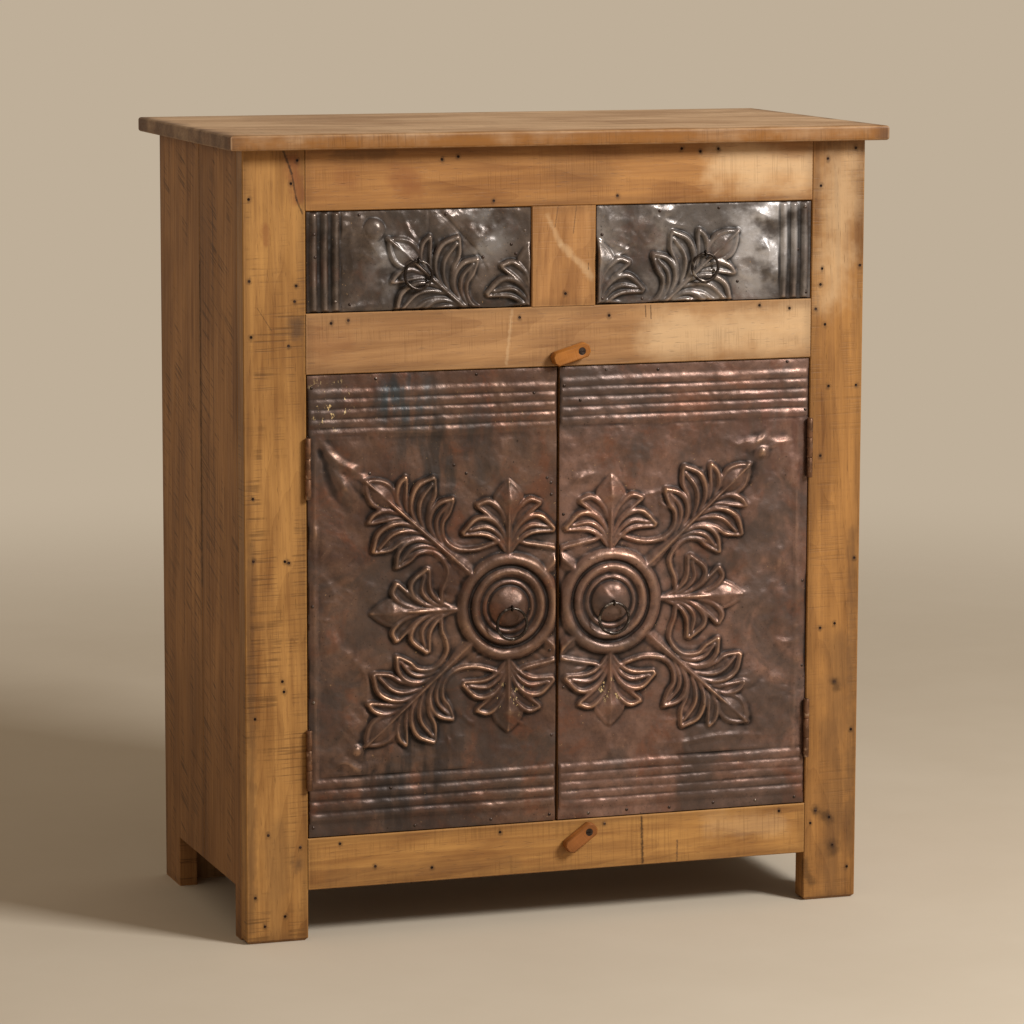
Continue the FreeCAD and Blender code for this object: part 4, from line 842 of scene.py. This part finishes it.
# folds about the medallion, with their height and half width
DOOR_FOLDS = {
    "left": (
        (((247, 224), (238, 208), (222, 191), (200, 179), (184, 170)), 3.5, 9),
        (((243, 205), (237, 180), (228, 152), (208, 128)), -3.2, 8),
        (((228, 184), (213, 159), (190, 136)), 3.2, 9),
        (((256, 140), (248, 100), (252, 60), (244, 10), (250, -40)), -1.8, 8),
        (((224, -34), (202, -56), (185, -83), (189, -129), (211, -149)), 2.8, 11),
        (((242, -202), (217, -185), (194, -195), (167, -189)), 3.0, 9),
        (((252, 60), (232, 40), (222, 10)), 2.0, 10),
        (((60, 180), (90, 168), (130, 172)), 1.6, 9),
        (((10, 186), (20, 160), (52, 150)), 1.4, 6),
    ),
    "right": (
        (((38, 132), (56, 134), (80, 140)), 1.8, 5),
        (((-60, 160), (-40, 158), (-22, 163)), 2.2, 8),
        (((150, 200), (178, 190), (205, 196), (232, 192)), 2.8, 11),
        (((40, -150), (70, -158), (110, -156)), 1.9, 8),
        (((235, 60), (228, 20), (236, -40)), 2.2, 11),
        (((222, -60), (240, -66), (256, -62)), 2.2, 7),
        (((236, 110), (246, 150), (240, 190)), 2.4, 10),
        (((40, -182), (90, -188), (150, -182), (230, -186)), 1.9, 6),
    ),
}
DOOR_STAINS = {
    "left": ((-0.205, 0.672, 0.055, paint(40, 60, 66)), (-0.16, 0.60, 0.09, paint(52, 50, 48)),
             (-0.20, 0.20, 0.12, paint(50, 44, 42))),
    "right": ((0.29, 0.62, 0.08, paint(112, 78, 66)),),
}
DOOR_FLECKS = {"left": ((-0.30, 0.672, 0.04), (-0.068, 0.29, 0.03)),
               "right": ((0.068, 0.30, 0.03),)}
for side, mirror in (("left", -1), ("right", 1)):
    low, high = (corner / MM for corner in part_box(f"{side}_door_tin"))
    wide, tall = high.x - low.x, high.z - low.z
    inset = MEDALLION_INSET[side]
    pressing = Pressing(
        grid_lines((0, LEAVES_OUT, LEAF_GRID), (LEAVES_OUT, wide, END_GRID)) - inset,
        grid_lines((0, RIB_BAND, RIB_GRID), (RIB_BAND, LEAVES_LOW, PLAIN_GRID),
                   (LEAVES_LOW, LEAVES_HIGH, LEAF_GRID), (LEAVES_HIGH, UPPER_BAND, PLAIN_GRID),
                   (UPPER_BAND, tall, RIB_GRID)) - MEDALLION_RISE)
    press_die(pressing)
    pressing.turned(STUDS[side], DOOR_STUD)
    from_bottom = pressing.up - pressing.up[0]
    in_band = (from_bottom < RIB_BAND) | (from_bottom > tall - RIB_BAND)
    pressing.rise[in_band] = 0
    for number, level in enumerate([tall - drop for drop in UPPER_RIBS[side]] + LOWER_RIBS[side]):
        up = level - MEDALLION_RISE
        swing = [(u, up + RIB_SWING * sin(SWING_RATE * u + SWING_STEP * number))
                 for u in np.linspace(3 - inset, wide - inset - 3, 9)]
        pressing.bar(swing, RIB_HEIGHTS, RIB_WIDTHS)
    fold = wide - inset - EDGE_FOLD[side]
    pressing.bar([(fold, EDGE_FOLD_LOW), (fold + 1, 0), (fold, EDGE_FOLD_HIGH)],
                 (2.2, 2.0, 2.2), (3.0, 2.6, 3.0))
    pressing.rise = softened(pressing.rise, 1)
    dent_seed, cloud_seed = DOOR_SEEDS[side]
    dented(pressing, DOOR_SWELLS, DOOR_FOLDS[side], DOOR_CREASES, dent_seed, in_band)
    pressing.rise[in_band] = np.minimum(pressing.rise[in_band], BUTTON_ROOM)
    piece = tin_piece(f"{side}_door_pressed_tin", pressing, low, high, mirror)
    piece.data.materials.append(tin(
        f"{side}_door_tin_finish", VARNISH[side], RUST, COPPER_WEAR_AND_HIGHLIGHT, cloud_seed, 0.32,
        stains_and_sheen=DOOR_STAINS[side], flecks=DOOR_FLECKS[side]))
    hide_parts(f"{side}_door_tin")
    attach(piece, f"{side}_door")

# ================================================================ drawer tins
# The same die, struck lower and off to one side, so that only the tips of its leaves fall on
# the drawer; the sheet is darker and glossier, with upright ribs at its outer end.
DRAWER_VARNISH = {
    "left": (paint(113, 97, 86), paint(56, 44, 36), paint(32, 25, 21)),
    "right": (paint(150, 139, 131), paint(82, 70, 63), paint(44, 36, 32)),
}
# the crest colour: wear, and a painted highlight as well
DRAWER_RUST, DRAWER_CREST_WEAR_AND_HIGHLIGHT = paint(100, 70, 56), paint(190, 168, 152)
# pale patches painted on the drawer tins as sheen, where the lamp's reflection lies
DRAWER_SHEEN_PATCHES = {
    "left": ((-0.10, 0.875, 0.05, paint(144, 138, 134)),
             (-0.224, 0.856, 0.030, paint(146, 138, 132)),
             (-0.226, 0.825, 0.034, paint(140, 132, 128))),
    "right": ((0.275, 0.875, 0.075, paint(208, 201, 197)),
              (0.262, 0.825, 0.05, paint(188, 180, 175))),
}
RING_ROOM, ROOM_SHARPNESS = 6.9, 1.5
REVEAL, SPRAY_DROP, SPRAY_SHIFT = 1.5, 77.3, {"left": 1.4, "right": -2.6}
DRAWER_GRID = 1.1
DRAWER_RIBS, STIFF_END, RIB_MARGIN, RIB_BOW = (9, 23, 37), 44, 2, 0.6
UPRIGHT_HEIGHTS, UPRIGHT_WIDTHS = (3.6, 4.1, 3.6), (4.4, 4.8, 4.4)
LEFT_STUD, LEFT_STUD_FORM = (205.5, 178), ((0, 7.4), (5.8, 6.4), (11, 3.6), (14.5, 0))
DRAWER_SWELLS, DRAWER_CREASES = ((40, 2.2), (17, 1.7), (8, 0.6)), 40
DRAWER_SEEDS = {"left": (41, 5.1), "right": (53, 7.4)}
DRAWER_FOLDS = {
    "left": (
        (((122, 201), (108, 190), (89, 169), (65, 141), (52, 112)), 1.7, 8),
        (((112, 204), (98, 194), (79, 173), (55, 148), (42, 122)), 2.0, 17),
        (((126, 203), (112, 191), (93, 171), (69, 143), (56, 114)), -2.2, 4.5),
        (((222, 200), (220, 176), (208, 158), (196, 140), (192, 118)), 2.2, 11),
        (((236, 152), (214, 146), (190, 130)), 1.8, 9),
        (((225, 190), (236, 160), (232, 130), (244, 108)), 1.5, 8),
        (((196, 186), (190, 172)), 1.6, 5),
        (((150, 190), (160, 178)), 1.2, 6),
        (((226, 150), (214, 134), (218, 112)), -1.2, 7),
    ),
    "right": (
        (((126, 195), (94, 171)), 1.5, 6),
        (((49, 142), (7, 158)), 1.6, 6),
        (((196, 194), (216, 188), (236, 176)), 4.4, 15),
        (((222, 156), (230, 138), (226, 114)), 3.8, 15),
        (((180, 194), (186, 184)), 1.5, 7),
        (((210, 130), (220, 112)), -1.2, 8),
    ),
}
for side, mirror in (("left", -1), ("right", 1)):
    low, high = (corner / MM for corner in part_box(f"{side}_drawer_tin"))
    wide, tall = high.x - low.x, high.z - low.z
    floor_level = SPRAY_DROP + REVEAL
    pressing = Pressing(grid_lines((0, wide, DRAWER_GRID)) + SPRAY_SHIFT[side] + REVEAL,
                        grid_lines((0, tall, DRAWER_GRID)) + floor_level)
    press_die(pressing)
    if side == "left":
        pressing.turned(LEFT_STUD, LEFT_STUD_FORM)
    for from_end in DRAWER_RIBS:
        out = pressing.out[-1] - from_end
        pressing.bar([(out, floor_level + RIB_MARGIN), (out + RIB_BOW, floor_level + tall / 2),
                      (out, floor_level + tall - RIB_MARGIN)], UPRIGHT_HEIGHTS, UPRIGHT_WIDTHS)
    pressing.rise = softened(pressing.rise, 1)
    dent_seed, cloud_seed = DRAWER_SEEDS[side]
    dented(pressing, DRAWER_SWELLS, DRAWER_FOLDS[side], DRAWER_CREASES, dent_seed,
           (slice(None), pressing.out > pressing.out[-1] - STIFF_END))
    room = np.logaddexp(0, ROOM_SHARPNESS * (RING_ROOM - pressing.rise)) / ROOM_SHARPNESS
    pressing.rise = RING_ROOM - room
    piece = tin_piece(f"{side}_drawer_pressed_tin", pressing, low, high, mirror)
    piece.data.materials.append(tin(
        f"{side}_drawer_tin_finish", DRAWER_VARNISH[side], DRAWER_RUST, DRAWER_CREST_WEAR_AND_HIGHLIGHT,
        cloud_seed, 0.22, wear_and_highlight=0.7, bare=0.45, stains_and_sheen=DRAWER_SHEEN_PATCHES[side], streaky=(24, 1, 30)))
    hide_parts(f"{side}_drawer_tin")
    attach(piece, f"{side}_drawer")

# ================================================================ hinges
# Three-inch butt hinges of sheet iron, each leaf rolled round the pin in knuckles; they stand
# proud in the gap beside the door, rusty brown and rubbed bright at the rims.
def turned_piece(name, profile, centre, axis, steps=32):
    """A solid of revolution: a closed outline of (radius, along), spun about an axis."""
    bpy.ops.object.select_all(action="DESELECT")
    bpy.ops.mesh.primitive_circle_add(vertices=len(profile), fill_type="NOTHING")
    piece = bpy.context.object
    piece.name = piece.data.name = name
    axis = Vector(axis)
    outwards = axis.orthogonal().normalized()
    for vertex, (radius, along) in zip(piece.data.vertices, profile):
        vertex.co = (Vector(centre) + outwards * radius + axis * along) * MM
    bpy.ops.object.mode_set(mode="EDIT")
    bpy.ops.mesh.select_all(action="SELECT")
    bpy.ops.mesh.spin(steps=steps, angle=2 * pi, center=Vector(centre) * MM, axis=axis)
    bpy.ops.mesh.select_all(action="SELECT")
    bpy.ops.mesh.remove_doubles(threshold=1e-6)
    bpy.ops.mesh.dissolve_degenerate(threshold=1e-6)
    bpy.ops.mesh.normals_make_consistent(inside=False)
    bpy.ops.object.mode_set(mode="OBJECT")
    bpy.ops.object.shade_smooth_by_angle(angle=radians(40))
    return piece


def bevelled(piece, width, segments, **limits):
    """Rounds the edges of the active piece."""
    edges = piece.modifiers.new("edges", "BEVEL")
    edges.width, edges.segments = width * MM, segments
    for name, limit in limits.items():
        setattr(edges, name, limit)
    bpy.ops.object.modifier_apply(modifier="edges")
    bpy.ops.object.shade_smooth_by_angle(angle=radians(40))


def rounded_box(name, low, high, bevel):
    """A box between two corners with its edges bevelled."""
    bpy.ops.object.select_all(action="DESELECT")
    bpy.ops.mesh.primitive_cube_add(size=1)
    piece = bpy.context.object
    piece.name = piece.data.name = name
    low, high = Vector(low) * MM, Vector(high) * MM
    for vertex in piece.data.vertices:
        share = vertex.co + Vector((0.5, 0.5, 0.5))
        vertex.co = low + share * (high - low)
    bevelled(piece, bevel, 2)
    return piece


def joined(name, pieces):
    """Several pieces made into one."""
    bpy.ops.object.select_all(action="DESELECT")
    for piece in pieces:
        piece.select_set(True)
    bpy.context.view_layer.objects.active = pieces[0]
    bpy.ops.object.join()
    bpy.ops.object.transform_apply(location=True, rotation=True, scale=True)
    piece = bpy.context.object
    piece.name = piece.data.name = name
    return piece


SCALE = paint(24, 17, 13)
RUBBED_SHARE, SCALE_SHARE = 0.6, 0.25


def iron(name, dark, rust, bright, rusty=0.5, gloss=0.32):
    """Old iron: dark scale, rust in patches, and bare metal where it is rubbed."""
    made, shader, place = new_material(name)
    scale = place.noise(140.0, 5.0, 0.65).spread(0.35, 0.65)
    rusted = place.noise(60.0, 5.0, 0.7, 0.4).spread(0.42, 0.62)
    rubbed = place.noise(95.0, 4.0, 0.6).spread(0.55, 0.70)
    colour = (rusted * rusty).blend(dark, rust)
    colour = (rubbed * RUBBED_SHARE).blend(colour, bright)
    colour = (scale * SCALE_SHARE).blend(colour, SCALE)
    set_inputs(shader, {
        "Base Color": colour, "Metallic": rusted.spread(0.0, 1.0, 0.85, 0.45),
        "Roughness": scale * 0.22 + gloss, "Normal": scale.bumped(0.3, 0.2)})
    return made


HINGE_X = {"left": -328.1, "right": 335.6}
HINGE_FEET = (190.5, 553.5)
HINGE_LENGTH, PIN_Y = 76.0, -206.2
BARREL, BORE, PLAY = 3.8, 2.3, 0.3
LEAF_NEAR, LEAF_FAR = 0.5, 1.9
LEAF_FRONT, LEAF_BACK = -202.1, -180.2
RIM, BEVEL, NECK_BEVEL = 0.6, 0.2, 0.15


def hinge_leaf(side, foot, towards, own):
    """One leaf: its plate beside the axis, and the knuckles that are rolled out of it."""
    knuckle = HINGE_LENGTH / 3
    across = sorted(HINGE_X[side] + towards * reach for reach in (LEAF_NEAR, LEAF_FAR))
    pieces = [rounded_box("plate", (across[0], LEAF_FRONT, foot),
                          (across[1], LEAF_BACK, foot + HINGE_LENGTH), BEVEL)]
    for index in own:
        low = foot + index * knuckle + PLAY / 2
        high = low + knuckle - PLAY
        outline = ((BORE, low), (BARREL - RIM, low), (BARREL - BEVEL, low + BEVEL),
                   (BARREL, low + RIM), (BARREL, high - RIM), (BARREL - BEVEL, high - BEVEL),
                   (BARREL - RIM, high), (BORE, high))
        pieces.append(turned_piece("knuckle", outline, (HINGE_X[side], PIN_Y, 0), (0, 0, 1)))
        pieces.append(rounded_box("neck", (across[0], PIN_Y + BORE + 0.3, low),
                                  (across[1], LEAF_FRONT + 1.4, high), NECK_BEVEL))
    return pieces


hinge_iron = iron("hinge_iron", paint(110, 80, 60), paint(132, 88, 58), paint(200, 168, 140), 0.7)
frame_leaves = []
for side, stile_way in (("left", -1), ("right", 1)):
    door_leaves = []
    for foot in HINGE_FEET:
        frame_leaves += hinge_leaf(side, foot, stile_way, (0, 2))
        door_leaves += hinge_leaf(side, foot, -stile_way, (1,))
    leaves = joined(f"{side}_door_rolled_leaves", door_leaves)
    leaves.data.materials.append(hinge_iron)
    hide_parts(f"{side}_door_hinge_leaves")
    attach(leaves, f"{side}_door")
leaves = joined("frame_rolled_leaves", frame_leaves)
leaves.data.materials.append(hinge_iron)
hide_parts("frame_hinge_leaves")
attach(leaves, "case")
finish_node("hinge_pins", iron("pin_iron", paint(60, 44, 36), paint(96, 62, 44),
                               paint(170, 150, 132), 0.4))

# ================================================================ ring pulls
# Rings bent by hand from black iron wire, each hanging in an eye whose shank is driven
# through the tin into the wood.  Fingers keep the rings' fronts bright.
def wire_outline(bend, wire):
    """The outline of a wire's section, as far out as the wire is bent round."""
    return [(bend + wire * cos(turn), wire * sin(turn)) for turn in np.arange(12) * pi / 6]


EYE_BEND, EYE_WIRE, RING_WIRE, EYE_PLAY = 3.2, 1.05, 1.65, 0.1
SHANK_END = -182.3
RING_BENDS = {"door": 19.4, "drawer": 17.2}
RING_SWELL, RING_WOBBLE = 0.42, 0.35
PULLS = {
    "left_door": (-68.0, -217.6, 407.4),
    "right_door": (67.5, -217.6, 407.4),
    "left_drawer": (-187.8, -210.2, 843.4),
    "right_drawer": (188.9, -210.2, 843.4),
}
ring_iron = iron("ring_iron", paint(58, 49, 43), paint(72, 55, 44), paint(188, 174, 160), 0.25,
                 gloss=0.18)
for number, (body, (x, y, z)) in enumerate(PULLS.items()):
    loop = turned_piece("loop", wire_outline(EYE_BEND, EYE_WIRE), (x, y, z), (1, 0, 0))
    start = y + EYE_BEND
    shank = turned_piece("shank", ((0, start), (EYE_WIRE, start), (EYE_WIRE, SHANK_END),
                                   (0, SHANK_END)), (x, 0, z), (0, 1, 0), steps=16)
    eye = joined(f"{body}_bent_eye", [loop, shank])
    eye.data.materials.append(ring_iron)
    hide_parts(f"{body}_eye")
    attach(eye, body)

    bend = RING_BENDS[body.split("_")[1]]
    middle = z - (EYE_BEND - EYE_WIRE - RING_WIRE - EYE_PLAY) - bend
    ring = turned_piece(f"{body}_bent_ring", wire_outline(bend, RING_WIRE), (x, y, middle),
                        (0, 1, 0), steps=72)
    for vertex in ring.data.vertices:
        out = Vector((vertex.co.x - x * MM, 0, vertex.co.z - middle * MM))
        turn = out.angle(Vector((0, 0, 1)))
        from_eye = sin(turn / 2) ** 2
        swell = RING_SWELL * from_eye
        wobble = RING_WOBBLE * MM * from_eye * cos(3 * turn + number)
        vertex.co += out.normalized() * (wobble + swell * (out.length - bend * MM))
        vertex.co.y += swell * min(0, vertex.co.y - y * MM)
    ring.data.materials.append(ring_iron)
    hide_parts(f"{body}_ring")
    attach(ring, f"{body}_ring")

# ================================================================ turn buttons
# Whittled from scraps of the same wood, their corners worn round and darkened by fingers.
# Each turns on a slotted iron screw, over an iron washer.
def softened_copy(name, node, width):
    """A copy of a CAD node, merged, with its sharp edges rounded over."""
    piece = nodes[node].copy()
    piece.data = nodes[node].data.copy()
    bpy.context.scene.collection.objects.link(piece)
    piece.name = piece.data.name = name
    bpy.ops.object.select_all(action="DESELECT")
    piece.select_set(True)
    bpy.context.view_layer.objects.active = piece
    bpy.ops.object.mode_set(mode="EDIT")
    bpy.ops.mesh.select_all(action="SELECT")
    bpy.ops.mesh.remove_doubles(threshold=1e-6)
    bpy.ops.mesh.dissolve_limited(angle_limit=radians(1))
    bpy.ops.object.mode_set(mode="OBJECT")
    piece.data.materials.clear()
    bevelled(piece, width, 3, limit_method="ANGLE", angle_limit=radians(50))
    return piece


BUTTON_WOODS = {
    "upper": (17, paint(190, 122, 52), paint(132, 76, 28)),
    "lower": (38, paint(166, 102, 46), paint(112, 63, 28)),
}
BUTTON_EDGE = 1.4
for level, (lie, light, dark) in BUTTON_WOODS.items():
    node = f"{level}_turn_button"
    button = softened_copy(f"{level}_button_worn", node, BUTTON_EDGE)
    button.data.materials.append(wood(
        f"{level}_button_wood", node, (0, radians(lie), 0), light, dark, pith=(0, 0.03, 0.02),
        ring_pitch=2.5 * MM, saw=0.0, polish=0.36))
    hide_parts(node)
    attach(button, node)
finish_node("button_screws", iron("screw_iron", paint(54, 44, 38), paint(92, 64, 48),
                                  paint(150, 132, 116), 0.4))
finish_node("button_washers", iron("washer_iron", paint(50, 40, 34), paint(90, 60, 44),
                                   paint(130, 112, 98), 0.6))

# ================================================================ nails and tacks
# Cut nails hold the frame's joints, their heads driven just under the waxed face; small
# round-headed tacks hold the tins along their edges.  All are dark iron.
def driven(name, head, places, made_of):
    """Round heads of one outline at many places, joined into one piece."""
    pattern = turned_piece("head", head, (0, 0, 0), (0, 1, 0), steps=12)
    copies = []
    for place in places:
        made = pattern.copy()
        made.data = pattern.data.copy()
        made.location = Vector(place) * MM
        bpy.context.scene.collection.objects.link(made)
        copies.append(made)
    bpy.data.objects.remove(pattern)
    piece = joined(name, copies)
    piece.data.materials.append(made_of)
    return piece


NAIL_HEAD = ((0, 0.6), (1.8, 0.6), (1.8, -0.1), (1.5, -0.3), (0.8, -0.15), (0, -0.1))
nail_iron = iron("nail_iron", paint(36, 24, 18), paint(74, 44, 28), paint(96, 70, 52))
nails = driven("frame_nails", NAIL_HEAD,
               [(x, FRONT, z) for heads in NAILS.values() for x, z in heads], nail_iron)
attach(nails, "case")

TACK_HEAD = ((0, 1.6), (1.9, 1.6), (2.2, 0.1), (1.6, -0.45), (0.8, -0.75), (0, -0.85))
TACKS = {
    "left_door": (
        (-35, 674), (-17, 567), (-11, 546), (-123, 577), (-139, 588), (-222, 186), (-12, 561),
        (-248, 582), (-13, 349), (-322, 690), (-322, 420), (-321, 300), (-322, 142),
        (-190, 136), (-90, 137), (-12, 138), (-240, 699), (-110, 700), (-10, 240)),
    "right_door": (
        (61, 700), (130, 698), (305, 702), (5, 682), (26, 663), (330, 640), (40, 136), (92, 137),
        (150, 136), (210, 138), (268, 137), (322, 138), (329, 420), (330, 310), (6, 300),
        (5, 520)),
    "left_drawer": (
        (-261, 900), (-319, 878), (-318, 850), (-292, 795), (-102, 845), (-47, 876), (-59, 848),
        (-273, 791), (-65, 860), (-150, 899), (-120, 787)),
    "right_drawer": (
        (130, 897), (54, 869), (236, 806), (108, 788), (317, 844), (326, 898), (328, 790),
        (54, 790), (210, 899)),
}
tack_iron = iron("tack_iron", paint(58, 46, 40), paint(92, 64, 48), paint(186, 166, 148), 0.3,
                 gloss=0.28)
IN_FRONT = -0.3
bpy.context.view_layer.update()
for body, heads in TACKS.items():
    sheet = bpy.data.objects[f"{body}_pressed_tin"]
    seats = []
    for x, z in heads:
        found, seat, _, _ = sheet.ray_cast(Vector((x * MM, IN_FRONT, z * MM)), Vector((0, 1, 0)))
        if found:
            seats.append((x, seat.y / MM, z))
    tacks = driven(f"{body}_tacks", TACK_HEAD, seats, tack_iron)
    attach(tacks, body)

# ================================================================ inside wood
# Softwood boards that nobody waxed: the frame and boards of the back, the shelves and what
# carries them, and the runners.  They are nailed together, and have only gone dull with age.
RAW = (paint(178, 138, 94), paint(126, 90, 56))
DUSTY = (paint(160, 124, 88), paint(108, 78, 50))
INSIDE = {
    "back_boards": (ALONG_Z, 0.5, DUSTY),
    "rear_left_stile": (ALONG_Z, 0.4, RAW),
    "rear_right_stile": (ALONG_Z, 0.3, RAW),
    "rear_top_rail": (ALONG_X, 0.3, RAW),
    "rear_bottom_rail": (ALONG_X, 0.4, RAW),
    "bottom_board": (ALONG_X, 0.3, DUSTY),
    "shelf": (ALONG_X, 0.2, RAW),
    "dust_board": (ALONG_X, 0.3, DUSTY),
    "bottom_cleats": (ALONG_Y, 0.2, DUSTY),
    "shelf_cleats": (ALONG_Y, 0.2, DUSTY),
    "dust_board_cleats": (ALONG_Y, 0.2, DUSTY),
    "top_cleats": (ALONG_Y, 0.2, RAW),
    "door_stop_strip": (ALONG_X, 0.1, RAW),
    "drawer_guides": (ALONG_Y, 0.2, DUSTY),
    "drawer_kickers": (ALONG_Y, 0.1, RAW),
    "drawer_divider": (ALONG_Y, 0.2, DUSTY),
}
for number, (node, (grain, saw, tones)) in enumerate(INSIDE.items()):
    finish_board(node, grain, *tones, saw=saw, polish=0.62, rings=0.3,
                 pith=(0.37 * number, 0.14, 0.02 * (number % 4)))

# ================================================================ door cores
# Each door is a pine board behind its tin, kept flat by two ledges nailed across its back.
# The edges that show round the tin are blackened by hands.
for number, side in enumerate(("left", "right")):
    finish_board(f"{side}_door_panel", ALONG_Z, paint(172, 130, 86), paint(112, 78, 46),
                 pith=(0.8 * number, 0.18, 0.02), saw=0.45, polish=0.6, rings=0.28)
    finish_board(f"{side}_door_battens", ALONG_X, paint(184, 144, 98), paint(128, 92, 56),
                 pith=(1.1 + number, 0.1, 0.03), saw=0.2, polish=0.6)

# ================================================================ drawer boxes
# Nailed pine boxes: front, two sides and back, with the bottom let in; rubbed paler where
# they run and where hands reach in.
DRAWER_BOARDS = {
    "front": (ALONG_X, paint(170, 128, 84), paint(114, 80, 48), 0.3),
    "sides": (ALONG_Y, paint(194, 156, 110), paint(144, 106, 68), 0.15),
    "back": (ALONG_X, paint(186, 146, 100), paint(132, 96, 60), 0.35),
    "bottom": (ALONG_X, paint(182, 144, 100), paint(130, 96, 62), 0.3),
}
for number, side in enumerate(("left", "right")):
    for part, (grain, light, dark, saw) in DRAWER_BOARDS.items():
        finish_board(f"{side}_drawer_{part}", grain, light, dark, saw=saw, polish=0.58,
                     pith=(1.7 * number, 0.16, 0.05), rings=0.26)
